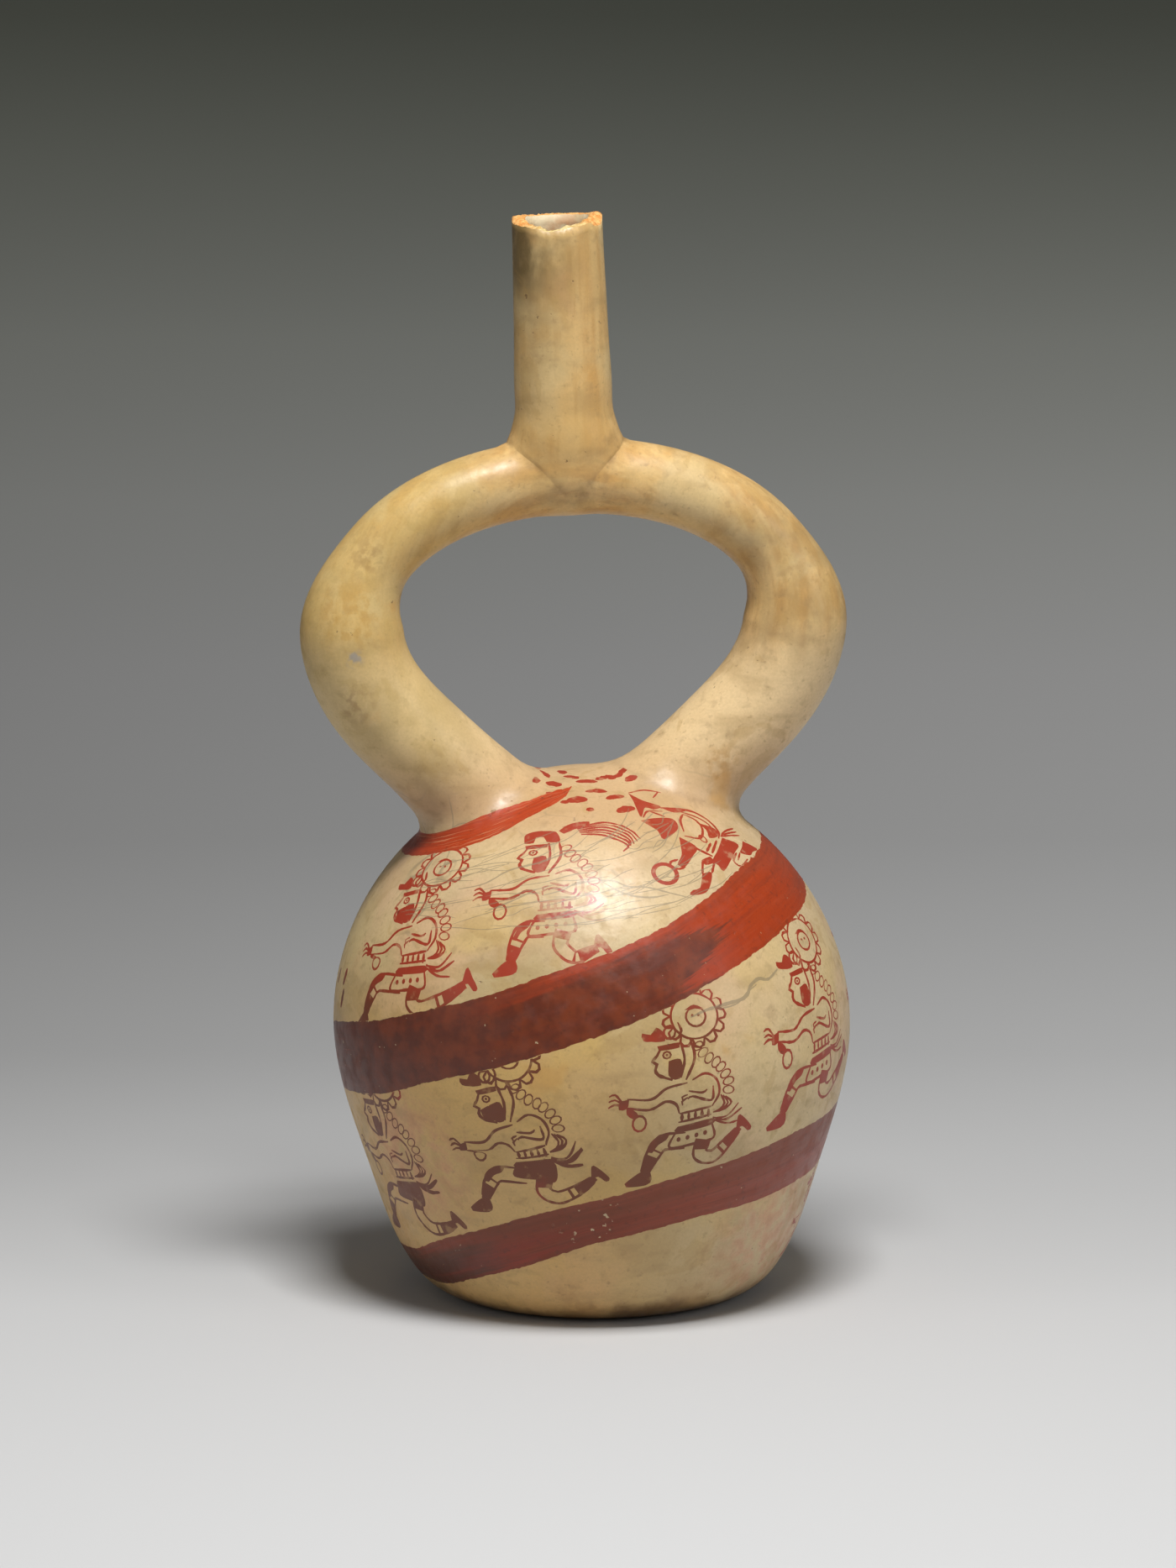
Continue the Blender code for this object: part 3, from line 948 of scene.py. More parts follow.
# Grey cracks in the slip, as (direction in degrees, height in mm)
crack_lines = (((-104, 114.2), (-98, 115.6), (-93, 117.3), (-83, 117.6), (-78, 116.2), (-72, 115.8),
               (-65, 114.1), (-59, 112.5)), ((-86, 117.4), (-79, 114.6), (-72, 113.6), (-66, 113.9)),
               ((-67, 85.0), (-63, 86.4), (-58, 87.2), (-52, 88.2), (-50, 90.6), (-47, 92.0),
               (-44, 91.4), (-40, 93.2)), ((-61, 86.2), (-55, 86.9), (-51, 89.4), (-48, 90.7)),
               ((-132, 113.5), (-124, 115.5), (-117, 119.0), (-108, 121.0), (-98, 123.4), (-90, 124.0)),
               ((-120, 109.5), (-113, 112.5), (-106, 115.5)), )

# The cracks' widths in mm, which of them is the long wide one, and how many hair cracks there are
wide_crack = 0.75
thin_crack = 0.34
hair_width = 0.17
long_crack = 2
hair_cracks = 84

# Where each figure runs: direction in degrees and height in mm of its hip, tilt, scale and dress
front_runners = ((-137.4, 92.4, 4, 0.98, {"stride": 1.30, "lean": 8, "lift": 1.0, "dark_face": True}),
                 (-99.6, 109.1, 0, 0.95, {"crest": "plume", "stride": 0.84, "lift": -6.0}),
                 (-144.7, 34.0, 0, 0.95, {"dark_kilt": True, "lift": -7.0, "stride": 1.10, "lean": 3}),
                 (-104.0, 45.9, 0, 0.94, {"dark_kilt": True, "stride": 1.14, "lean": 13, "lift": -2.0,
                 "dark_face": True}), (-66.3, 55.6, 0, 0.97, {"stride": 0.94}),
                 (-27.8, 67.3, -2, 1.03, {"stride": 1.12, "lean": -2}), )
back_runners = (
    (12.0, 71.5, 0, 0.86, {"dark_kilt": True, "stride": 0.95}),
    (55.0, 76.5, 0, 0.86, {"crest": "plume"}),
    (97.0, 82.5, 0, 0.86, {}),
    (138.0, 89.5, 0, 0.82, {"dark_kilt": True, "lean": 6}),
    (-6.0, 18.5, 0, 0.52, {"lean": 10}),
    (50.0, 23.5, 0, 0.58, {"dark_kilt": True, "lean": 10}),
    (104.0, 28.5, 0, 0.64, {"lean": 10}),
    (158.0, 33.5, 0, 0.72, {"lean": 8}),
)


def painted_shapes():
    """Every figure, crack, hair crack, side mark and dab."""
    shapes = []
    for direction, height, tilt, scale, style in front_runners:
        drawing = runner(style)
        shapes += place_drawing(drawing, math.radians(direction), height * 0.001, math.radians(tilt), scale)
    bent = bending_runner()
    shapes += place_drawing(bent, math.radians(-44.3), 0.1231)
    for direction, height, tilt, scale, style in back_runners:
        drawing = runner(style, plain=True)
        shapes += place_drawing(drawing, math.radians(direction), height * 0.001, math.radians(tilt), scale)
    for i, stations in enumerate(crack_lines):
        shapes.append(surface_stroke(stations, wide_crack if i == long_crack else thin_crack, "crack"))
    for _ in range(hair_cracks):
        direction = rng.uniform(-150.0, -58.0)
        height = 112.0 + 0.10 * (direction + 110.0) + rng.uniform(-6.0, 12.0)
        reach = rng.uniform(2.5, 9.0)
        rise = rng.uniform(0.05, 0.35)
        stations = [(direction + reach * k, height + reach * rise * k + rng.uniform(-0.5,
                     0.5)) for k in range(4)]
        shapes.append(surface_stroke(stations, hair_width, "crack"))
    for direction, height, length in ((-167.1, 85.4, 4.4), (-166.1, 80.0, 5.0), (-174.0, 84.0, 4.0)):
        stations = ((direction, height + 0.5 * length), (direction, height),
                    (direction - 0.5, height - 0.5 * length))
        shapes.append(surface_stroke(stations, 1.7, "line"))
    return shapes + dabs()


def flat_loops(shape):
    return [body_map.flat(loop[:, 0], body_map.depth_at_height(loop[:, 1])) for loop in shape.loops]


def spiral_place(direction, height, low, high):
    """For places on the body: inside the band or not, and how far along its climb."""
    inside = np.zeros(len(direction), bool)
    along = np.zeros(len(direction))
    for turn in (-1, 0, 1, 2):
        unrolled = direction + 2.0 * math.pi * turn
        here = (unrolled >= low[0, 0]) & (unrolled <= low[-1, 0])
        bottom = np.interp(unrolled, low[:, 0], low[:, 1])
        top = np.interp(unrolled, high[:, 0], high[:, 1])
        hit = here & (height > bottom) & (height < top)
        inside |= hit
        along[hit] = unrolled[hit]
    return inside, along


def body_sheet(mesh, foot_rings):
    """The body's skin, with an edge along each painted outline and holes for the legs."""
    line = body_outline(60)
    arc = np.concatenate([[0.0], np.cumsum(np.linalg.norm(np.diff(line, axis=0), axis=1))])
    rings = int(round(arc[-1] / body_spacing))
    grid = [np.zeros((1, 2))]
    room = [np.array([1.0])]
    for k in range(1, rings):
        at = arc[-1] * k / rings
        radius = np.interp(at, arc, line[:, 0])
        depth = body_map.depth_at_height(np.interp(at, arc, line[:, 1]))
        count = max(6, int(2.0 * math.pi * radius / body_spacing))
        turn = np.arange(count) * 2.0 * math.pi / count + (k % 2) * math.pi / count
        grid.append(body_map.flat(turn, np.full(count, depth)))
        room.append(np.full(count, 0.45 * body_spacing * 1000.0 * math.exp(depth) / radius))
    grid = np.vstack(grid)
    room = np.concatenate(room)

    base_turn = full_turn(base_sides)
    base_loop = body_map.flat(base_turn, np.zeros(base_sides))
    foot_loops = [body_map.flat_of_points(ring) for ring in foot_rings]
    low = spiral_edge(1)
    high = spiral_edge(2)
    band_points = np.vstack([low, high[::-1]])
    band_loop = body_map.flat(band_points[:, 0], body_map.depth_at_height(band_points[:, 1]))
    drawn = [(shape.kind, flat_loops(shape)) for shape in painted_shapes()]

    fixed = [base_loop] + foot_loops + [band_loop] + [loop for _, loops in drawn for loop in loops]
    grid = grid[~near_any(grid, np.vstack(fixed), room)]
    for loop in foot_loops:
        grid = grid[~inside_loops(grid, [loop])]
    corners, faces = triangulate(grid, fixed)

    middle = corners[faces].mean(1)
    keep = np.ones(len(faces), bool)
    for loop in foot_loops:
        keep &= ~inside_loops(middle, [loop])
    faces = faces[keep]
    middle = middle[keep]

    lines = np.zeros(len(faces))
    cracks = np.zeros(len(faces))
    for kind, loops in drawn:
        every = np.vstack(loops)
        near = np.flatnonzero((middle > every.min(0)).all(1) & (middle < every.max(0)).all(1))
        if len(near):
            hit = inside_loops(middle[near], loops)
            target = cracks if kind == "crack" else lines
            target[near[hit]] = 1.0

    points = body_map.on_body(corners)
    own = bottle_to_body(points)
    centre = own[faces].mean(1)
    direction = np.arctan2(centre[:, 1], centre[:, 0])
    inside, along = spiral_place(direction, centre[:, 2], low, high)
    paint = np.zeros((len(faces), 3, 4))
    paint[:, :, 0] = inside[:, None]
    paint[:, :, 1] = lines[:, None]
    paint[:, :, 2] = cracks[:, None]
    corner_turn = np.arctan2(own[faces][:, :, 1], own[faces][:, :, 0])
    corner_turn += 2.0 * math.pi * np.round((along[:, None] - corner_turn) / (2.0 * math.pi))
    bottom = np.interp(corner_turn, low[:, 0], low[:, 1])
    top = np.interp(corner_turn, high[:, 0], high[:, 1])
    share = (own[faces][:, :, 2] - bottom) / np.maximum(top - bottom, 1e-6)
    flow = np.zeros((len(faces), 3, 3))
    flow[:, :, 0] = np.where(inside[:, None], corner_turn, 0.0)
    flow[:, :, 1] = np.where(inside[:, None], share, 0.5)

    turn = np.arctan2(own[faces][:, :, 1], own[faces][:, :, 0])
    turn = np.where(turn > math.pi / 2, turn - 2.0 * math.pi, turn)
    face_turn = np.where(direction > math.pi / 2, direction - 2.0 * math.pi, direction)
    turn += 2.0 * math.pi * np.round((face_turn[:, None] - turn) / (2.0 * math.pi))
    at = np.interp(-own[faces][:, :, 2], -line[:, 1], arc) / arc[-1]
    uv = in_cell(body_cell, (turn + 1.5 * math.pi) / (2.0 * math.pi), at)
    mesh.add(points, faces, slip, np.clip(uv, 0.0, 1.0), paint, flow)
    return points


def foot_hole(turns, starts, ends, length, girth):
    """The spout's foot on the arch's own flat map."""
    spout_turns = full_turn(spout_sides)
    places = spout_foot(spout_turns)
    ring = spout_points(places, spout_turns)
    own = moved(ring, arch_place.inverted())
    flat = own[:, [0, 2]]
    _, where, share = polyline_distance(flat, arch_line)
    t = where + share
    centre, outward, _ = arch_frame(t)
    turn = np.arctan2(own[:, 1], ((flat - centre) * outward).sum(1))
    start = np.interp(turn, turns, starts)
    end = np.interp(turn, turns, ends)
    loop = np.stack([(t - start) / (end - start) * length, turn * girth], 1)
    return places, loop


def extra_turns(body_points, left):
    """Where painted outlines cross a leg's foot, as turns round the tube."""
    side = body_points[:, 0] < arch_shift if left else body_points[:, 0] > arch_shift
    high = body_points[side & (body_points[:, 2] > 0.1)]
    crossing = high[np.abs(arch_distance(high)) < 0.00004]
    own = moved(crossing, arch_place.inverted())
    flat = own[:, [0, 2]]
    _, where, share = polyline_distance(flat, arch_line)
    centre, outward, _ = arch_frame(where + share)
    turn = np.arctan2(own[:, 1], ((flat - centre) * outward).sum(1))
    regular = np.linspace(-math.pi, math.pi, arch_sides + 1)
    spare = np.abs(turn[:, None] - regular).min(1) > 0.004
    return turn[spare]


def arch_sheet(mesh, starts, ends, body_points):
    """The tube between its two feet, with a hole for the spout."""
    turns = np.linspace(-math.pi, math.pi, arch_sides + 1)
    starts = np.append(starts, starts[0])
    ends = np.append(ends, ends[0])
    length = 1000.0 * np.linalg.norm(np.diff(arch_line, axis=0), axis=1).sum() - arch_map_trim
    girth = arch_map_girth
    rows = int(length / (1000.0 * arch_spacing))
    along, turn = np.meshgrid(np.linspace(0.0, length, rows + 1), turns, indexing="ij")
    grid = np.stack([along.ravel(), (turn * girth).ravel()], 1)
    places, loop = foot_hole(turns, starts, ends, length, girth)
    edge = (grid[:, 0] < 1e-6) | (grid[:, 0] > length - 1e-6) | (np.abs(grid[:, 1]) > math.pi * girth - 1e-6)
    crowded = near_any(grid, loop, np.full(len(grid), 0.6)) | inside_loops(grid, [loop])
    grid = grid[edge | ~crowded]
    for left, row in ((True, 0.0), (False, length)):
        more = extra_turns(body_points, left) * girth
        grid = np.vstack([grid, np.stack([np.full(len(more), row), more], 1)])
    corners, faces = triangulate(grid, [loop])
    faces = faces[~inside_loops(corners[faces].mean(1), [loop])]

    turn = corners[:, 1] / girth
    share = corners[:, 0] / length
    t = np.interp(turn, turns, starts) * (1.0 - share) + np.interp(turn, turns, ends) * share
    points = arch_points(t, turn)
    for end_share in (0.0, 1.0):
        row = np.abs(share - end_share) < 1e-6
        points[row] = snapped(points[row], body_points)
    uv = in_cell(arch_cell, share[faces], turn[faces] / (2.0 * math.pi) + 0.5)
    mesh.add(points, faces, slip, uv)
    return points, places


# Broken places round the mouth: direction, half width, and depths outside and inside, in mm
rim_chips = (
    (90, 75, 1.6, 0.9),
    (-98, 26, 1.9, 2.6),
    (-100, 70, 1.2, 1.7),
    (-150, 40, 1.0, 0.5),
    (-24, 20, 1.9, 0.3),
)


def chip_depth(turn, column):
    """How deep the mouth is broken in one direction: column 0 on its outer edge, 1 on its inner."""
    depth = 0.0
    for middle, half_width, *deep in rim_chips:
        away = (turn - math.radians(middle) + math.pi) % (2.0 * math.pi) - math.pi
        share = abs(away) / math.radians(half_width)
        if share < 1.0:
            depth = max(depth, deep[column] * (1.0 - share**2.5))
    ragged = 0.10 * math.sin(17.0 * turn + 2.0 * column) + 0.08 * math.sin(41.0 * turn + 1.0)
    front = 0.5 - 0.5 * math.sin(turn)
    return 0.001 * max(0.0, depth + (0.35 + 0.9 * front) * ragged + 0.08)


def spout_sheet(mesh, places, arch_sheet_points):
    """The spout's skin, from the broken rim down to its seam on the arch."""
    turns = full_turn(spout_sides)
    length = spout_length()
    heights = np.array([length - chip_depth(turn, 0) for turn in turns])
    starts = np.interp(-heights, -spout_line[:, 1], np.arange(len(spout_line)))
    share = np.linspace(0.0, 1.0, spout_rings)[:, None]
    rows = spout_points(starts * (1.0 - share) + places * share, np.tile(turns, (spout_rings, 1)))
    rows[-1] = snapped(rows[-1], arch_sheet_points)
    faces = ring_grid(rows)
    turn_uv = np.tile(np.arange(spout_sides), (spout_rings, 1)).ravel()
    share_uv = np.tile(share, (1, spout_sides)).ravel()
    columns = turn_uv[faces].astype(float)
    wrap = columns.max(1, keepdims=True) - columns > spout_sides / 2
    columns[wrap] += spout_sides
    uv = in_cell(spout_cell, share_uv[faces], columns / spout_sides)
    mesh.add(rows.reshape(-1, 3), faces, slip, uv)
    return rows[0]


def rim_sheet(mesh, outer_edge):
    """The broken edge, from the outer skin to the inner, in raw clay."""
    turns = full_turn(spout_sides)
    heights = np.array([spout_length() - chip_depth(turn, 1) for turn in turns])
    bore = rim_radius - spout_wall
    inner_edge = moved(ring_at(bore, turns, heights), spout_place)
    rows = [outer_edge]
    steps = 5
    for k in range(1, steps):
        share = k / steps
        row = outer_edge * (1.0 - share) + inner_edge * share
        grain = rng.uniform(-0.00028, 0.00022, spout_sides)
        row[:, 2] += grain + 0.00035 * math.sin(math.pi * share)
        rows.append(row)
    rows.append(inner_edge)
    rows = np.array(rows)
    faces = ring_grid(rows, flip=True)
    column = np.tile(np.arange(spout_sides) / spout_sides, (len(rows), 1)).ravel()
    share = np.repeat(np.linspace(0.0, 1.0, len(rows)), spout_sides)
    uv = in_cell(rim_cell, column[faces], share[faces])
    mesh.add(rows.reshape(-1, 3), faces, broken, uv)


def closed_form(name, rows):
    """A closed solid from rings of points, capped by a fan at each end."""
    count = rows.shape[1]
    points = np.vstack([rows.reshape(-1, 3), rows[0].mean(0), rows[-1].mean(0)])
    faces = [tuple(face) for face in ring_grid(rows)]
    first = rows.shape[0] * count
    last = (rows.shape[0] - 1) * count
    for j in range(count):
        faces.append((first, (j + 1) % count, j))
        faces.append((first + 1, last + j, last + (j + 1) % count))
    data = bpy.data.meshes.new(name)
    data.from_pydata([tuple(point) for point in points], [], [tuple(int(i) for i in face) for face in faces])
    work = bmesh.new()
    work.from_mesh(data)
    bmesh.ops.recalc_face_normals(work, faces=work.faces)
    work.to_mesh(data)
    work.free()
    item = bpy.data.objects.new(name, data)
    bpy.context.scene.collection.objects.link(item)
    return item


def inside_sheet(mesh):
    """The hollow: body cavity, the arch's bore and the spout's, run together, seen from within."""
    outline = body_outline(5)
    run = np.gradient(outline, axis=0)
    run /= np.linalg.norm(run, axis=1)[:, None]
    inner = outline + body_wall * np.stack([run[:, 1], -run[:, 0]], 1)
    inner = inner[(inner[:, 1] > floor_thickness) & (inner[:, 0] > 0.002)]
    inner = np.vstack([inner, [inner[-1][0] - 0.3 * body_wall, floor_thickness]])
    turns = full_turn(cavity_sides)
    cavity = np.array([ring_at(radius, turns, height) for radius, height in inner])
    cavity = closed_form("cavity", body_to_bottle(cavity))

    t = np.linspace(0.0, len(arch_line) - 1.0, 90)
    centre, outward, radius = arch_frame(t)
    tube = []
    for i in range(len(t)):
        bore = radius[i] - arch_wall
        ring = [(centre[i, 0] + outward[i, 0] * bore * math.cos(a), bore * math.sin(a),
                 centre[i, 1] + outward[i, 1] * bore * math.cos(a)) for a in turns[::4]]
        tube.append(ring)
    tube = np.array(tube)
    tube = closed_form("arch_bore", moved(tube, arch_place))

    length = spout_length()
    turns = full_turn(spout_sides)
    rows = []
    heights = np.array([length - chip_depth(turn, 1) for turn in turns])
    bore = rim_radius - spout_wall
    for share in (0.0, 0.04, 0.10, 0.2, 0.35, 0.5, 0.65, 0.8, 0.92):
        z = heights * (1.0 - share) + 0.004 * share
        rows.append(ring_at(bore, turns, z))
    for radius, z in ((arch_top_radius - arch_wall, 0.002), (0.5 * bore, 0.0)):
        rows.append(ring_at(radius, turns, z))
    rows = np.array(rows)
    rows = moved(rows, spout_place)
    mouth_ring = rows[0]
    mouth = closed_form("spout_bore", rows)
    for other in (tube, mouth):
        modifier = cavity.modifiers.new("join", "BOOLEAN")
        modifier.operation = "UNION"
        modifier.object = other
    bpy.context.view_layer.update()
    shown = cavity.evaluated_get(bpy.context.evaluated_depsgraph_get())
    data = bpy.data.meshes.new_from_object(shown)
    for item in (cavity, tube, mouth):
        bpy.data.objects.remove(item)
    work = bmesh.new()
    work.from_mesh(data)
    bmesh.ops.triangulate(work, faces=work.faces)
    points = np.array([tuple(vertex.co) for vertex in work.verts])
    faces = np.array([[vertex.index for vertex in face.verts] for face in work.faces])
    work.free()
    middle = mouth_ring.mean(0)
    hub = np.linalg.norm(points - middle, axis=1).argmin()
    faces = faces[(faces != hub).all(1)][:, ::-1]
    used = np.unique(faces)
    renumber = np.zeros(len(points), int)
    renumber[used] = np.arange(len(used))
    spread = points[faces]
    uv = in_cell(inside_cell, (spread[:, :, 0] + 0.075) / 0.15, spread[:, :, 2] / 0.285)
    mesh.add(points[used], renumber[faces], inner_face, uv)


# The underside's rings, as shares of the flat base's radius
underside_rings = (1.0, 0.97, 0.85, 0.6, 0.3, 0.08)


def underside_sheet(mesh):
    """The flat base that the bottle stands on."""
    turns = full_turn(base_sides)
    rows = np.array([ring_at(base_flat_radius * share, turns, 0.0) for share in underside_rings])
    faces = ring_grid(rows)
    points = np.vstack([rows.reshape(-1, 3), [[0.0, 0.0, 0.0]]])
    first = (len(rows) - 1) * base_sides
    fan = np.array([(first + j, first + (j + 1) % base_sides, len(points) - 1) for j in range(base_sides)])
    faces = np.vstack([faces, fan])
    flat = points[faces][:, :, :2] / base_flat_radius
    uv = in_cell(underside_cell, flat[:, :, 0], flat[:, :, 1])
    mesh.add(points, faces, slip, uv)


class Sheets:
    """Collects the sheets of the vessel, with finish, paint, flow and texture place by corner."""

    def __init__(self):
        self.points = []
        self.faces = []
        self.finish = []
        self.paint = []
        self.flow = []
        self.uv = []
        self.count = 0

    def add(self, points, faces, finish, uv, paint=None, flow=None):
        self.points.append(np.asarray(points, float))
        self.faces.append(np.asarray(faces, int) + self.count)
        self.finish.append(np.full(len(faces), finish))
        self.paint.append(np.zeros((len(faces), 3, 4)) if paint is None else paint)
        self.flow.append(np.zeros((len(faces), 3, 3)) if flow is None else flow)
        self.uv.append(uv)
        self.count += len(points)


def seam_tone(points, outer_count):
    """1 in the creases where the spout and the legs were luted on, for the dirt caught there."""
    outer = points[:outer_count]
    spout = spout_distance(outer)
    arch = arch_distance(outer)
    body = body_distance(outer)
    tone = np.zeros(len(points))
    crease = np.exp(-(((arch - spout) / 0.0006) ** 2)) * (np.minimum(arch, spout) < 0.003)
    foot = 0.5 * np.exp(-(((body - arch) / 0.0012) ** 2)) * (np.minimum(arch, body) < 0.004)
    tone[:outer_count] = np.maximum(crease, foot)
    return tone


# Points are drawn onto the one surface if they lie off it by more than the first of these and less
# than the second, and below a stretch under the rim, whose breaks stay as they are
on_surface = 0.00003
farthest_draw = 0.006
rim_kept = 0.02


def vessel_mesh():
    """The whole vessel: its sheets put together, drawn onto one surface and welded."""
    sheets = Sheets()
    turns = np.linspace(-math.pi, math.pi, arch_sides + 1)[:-1]
    starts = leg_foot(turns, True)
    ends = leg_foot(turns, False)
    foot_rings = [arch_points(starts, turns), arch_points(ends, turns)]
    body_points = body_sheet(sheets, foot_rings)
    arch_sheet_points, places = arch_sheet(sheets, starts, ends, body_points)
    outer_edge = spout_sheet(sheets, places, arch_sheet_points)
    outer_count = sheets.count
    underside_sheet(sheets)
    rim_sheet(sheets, outer_edge)
    inside_sheet(sheets)

    points = np.vstack(sheets.points)
    outer = points[:outer_count]
    off = bottle_distance(outer)
    near = np.flatnonzero((np.abs(off) > on_surface) & (np.abs(off) < farthest_draw))
    near = near[outer[near, 2] < rim_height - rim_kept]
    points[near] = draw_onto_surface(outer[near])

    data = bpy.data.meshes.new("painted_bottle")
    faces = np.vstack(sheets.faces)
    data.vertices.add(len(points))
    data.vertices.foreach_set("co", points.astype(np.float32).ravel())
    data.loops.add(len(faces) * 3)
    data.loops.foreach_set("vertex_index", faces.astype(np.int32).ravel())
    data.polygons.add(len(faces))
    data.polygons.foreach_set("loop_start", np.arange(0, len(faces) * 3, 3, dtype=np.int32))
    data.polygons.foreach_set("material_index", np.concatenate(sheets.finish).astype(np.int32))
    data.update(calc_edges=True)
    colours = np.vstack(sheets.paint)
    colours[:, :, 3] = seam_tone(points, outer_count)[faces]
    paint = data.attributes.new("paint", "FLOAT_COLOR", "CORNER")
    paint.data.foreach_set("color", colours.astype(np.float32).ravel())
    flow = data.attributes.new("flow", "FLOAT_VECTOR", "CORNER")
    flow.data.foreach_set("vector", np.vstack(sheets.flow).astype(np.float32).ravel())
    layer = data.uv_layers.new(name="OFBake")
    layer.data.foreach_set("uv", np.vstack(sheets.uv).astype(np.float32).ravel())

    work = bmesh.new()
    work.from_mesh(data)
    bmesh.ops.remove_doubles(work, verts=work.verts, dist=weld_distance)
    bmesh.ops.dissolve_degenerate(work, edges=work.edges, dist=smallest_edge)
    bmesh.ops.triangulate(work, faces=work.faces)
    # A face with an open edge and an edge of three faces is a stray flap on a seam
    flaps = [face for face in work.faces if {1, 3} <= {len(edge.link_faces) for edge in face.edges}]
    bmesh.ops.delete(work, geom=flaps, context="FACES")
    bmesh.ops.recalc_face_normals(work, faces=work.faces)
    work.to_mesh(data)
    work.free()
    data.shade_smooth()
    return data


# Materials

class Value:
    """A number that a material works out at each place; arithmetic on it makes math nodes."""

    def __init__(self, nodes, socket):
        self.nodes = nodes
        self.socket = socket

    def __add__(self, other):
        return self.nodes.math("ADD", self, other)

    def __radd__(self, other):
        return self.nodes.math("ADD", other, self)

    def __sub__(self, other):
        return self.nodes.math("SUBTRACT", self, other)

    def __rsub__(self, other):
        return self.nodes.math("SUBTRACT", other, self)

    def __mul__(self, other):
        return self.nodes.math("MULTIPLY", self, other)

    def __truediv__(self, other):
        return self.nodes.math("DIVIDE", self, other)


class Nodes:
    """A material's node tree, with short calls for the nodes that the looks need."""

    def __init__(self, name, roughness):
        self.material = bpy.data.materials.new(name)
        self.material.use_nodes = True
        self.tree = self.material.node_tree
        self.shader = self.tree.nodes["Principled BSDF"]
        self.shader.inputs["Roughness"].default_value = roughness
        self.place = self.add("ShaderNodeTexCoord").outputs["Object"]

    def add(self, kind, **settings):
        made = self.tree.nodes.new(kind)
        for name, value in settings.items():
            setattr(made, name, value)
        return made

    def feed(self, socket, value):
        if isinstance(value, Value):
            value = value.socket
        if isinstance(value, bpy.types.NodeSocket):
            self.tree.links.new(value, socket)
        else:
            socket.default_value = value

    def math(self, operation, *values):
        made = self.add("ShaderNodeMath", operation=operation)
        for socket, value in zip(made.inputs, values):
            self.feed(socket, value)
        return Value(self, made.outputs[0])

    def larger(self, one, two):
        return self.math("MAXIMUM", one, two)

    def smaller(self, one, two):
        return self.math("MINIMUM", one, two)

    def split(self, source, kind="XYZ"):
        """The three parts of a place or a colour."""
        made = self.add("ShaderNodeSeparate" + kind)
        self.feed(made.inputs[0], source)
        return [Value(self, socket) for socket in made.outputs]

    def ramp(self, value, low, high):
        """A smooth rise from 0 to 1 between two values; with low above high it falls."""
        made = self.add("ShaderNodeMapRange", interpolation_type="SMOOTHSTEP")
        self.feed(made.inputs["Value"], value)
        made.inputs["From Min"].default_value = min(low, high)
        made.inputs["From Max"].default_value = max(low, high)
        made.inputs["To Min"].default_value = 0.0 if low < high else 1.0
        made.inputs["To Max"].default_value = 1.0 if low < high else 0.0
        return Value(self, made.outputs["Result"])

    def noise(self, scale, detail=4.0, stretch=(1.0, 1.0, 1.0), place=None, shift=0.0, distortion=0.0):
        mapping = self.add("ShaderNodeMapping")
        self.feed(mapping.inputs["Vector"], place or self.place)
        mapping.inputs["Scale"].default_value = stretch
        mapping.inputs["Location"].default_value = (shift, 0.7 * shift, -0.4 * shift)
        made = self.add("ShaderNodeTexNoise")
        self.feed(made.inputs["Vector"], mapping.outputs["Vector"])
        made.inputs["Scale"].default_value = scale
        made.inputs["Detail"].default_value = detail
        made.inputs["Distortion"].default_value = distortion
        return Value(self, made.outputs["Fac"])

    def mix(self, factor, one, two):
        made = self.add("ShaderNodeMix", data_type="RGBA")
        self.feed(made.inputs["Factor"], factor)
        self.feed(made.inputs[6], one)
        self.feed(made.inputs[7], two)
        return made.outputs[2]

    def cloud(self, scale, detail, low, high, **settings):
        """Soft patches: 0 where the noise is under one value, 1 where it is over the other."""
        return self.ramp(self.noise(scale, detail, **settings), low, high)

    def near(self, centre, radius):
        """1 at a place on the bottle, falling to 0 at a distance."""
        gap = self.add("ShaderNodeVectorMath", operation="DISTANCE")
        self.feed(gap.inputs[0], self.place)
        gap.inputs[1].default_value = centre
        return self.ramp(gap.outputs["Value"], radius, 0.25 * radius)

    def colours(self, value, stops):
        made = self.add("ShaderNodeValToRGB")
        self.feed(made.inputs["Fac"], value)
        while len(made.color_ramp.elements) < len(stops):
            made.color_ramp.elements.new(0.5)
        for element, (place, colour) in zip(made.color_ramp.elements, stops):
            element.position = place
            element.color = colour
        return made.outputs["Color"]

    def bump(self, heights, distance):
        """Bumps from several (height, strength) pairs, chained."""
        normal = None
        for height, strength in heights:
            made = self.add("ShaderNodeBump")
            made.inputs["Strength"].default_value = strength
            made.inputs["Distance"].default_value = distance
            self.feed(made.inputs["Height"], height)
            if normal:
                self.feed(made.inputs["Normal"], normal)
            normal = made.outputs["Normal"]
        self.feed(self.shader.inputs["Normal"], normal)


def shade(red, green, blue):
    """A colour given as it looks on screen, 0 to 255, turned to the renderer's own scale."""
    out = []
    for value in (red, green, blue):
        share = value / 255.0
        out.append(share / 12.92 if share <= 0.04045 else ((share + 0.055) / 1.055) ** 2.4)
    return (*out, 1.0)


# Colours that several places share, as they look on screen
cream = (212, 187, 134)
cream_yellow = (206, 176, 104)
cream_pink = (214, 174, 132)
cream_grey = (190, 168, 124)
tan = (216, 180, 118)
tan_ochre = (198, 150, 80)
# Olive of the soot, also used as painted shade on the spout's and left leg's left sides
olive_soot_and_shade = (100, 80, 42)
worn_brown = (88, 58, 34)
crack_grey = (132, 118, 92)

# The middle of the arch's opening, which its streaks run round: aside and height
arch_middle = (-0.004, 0.182)

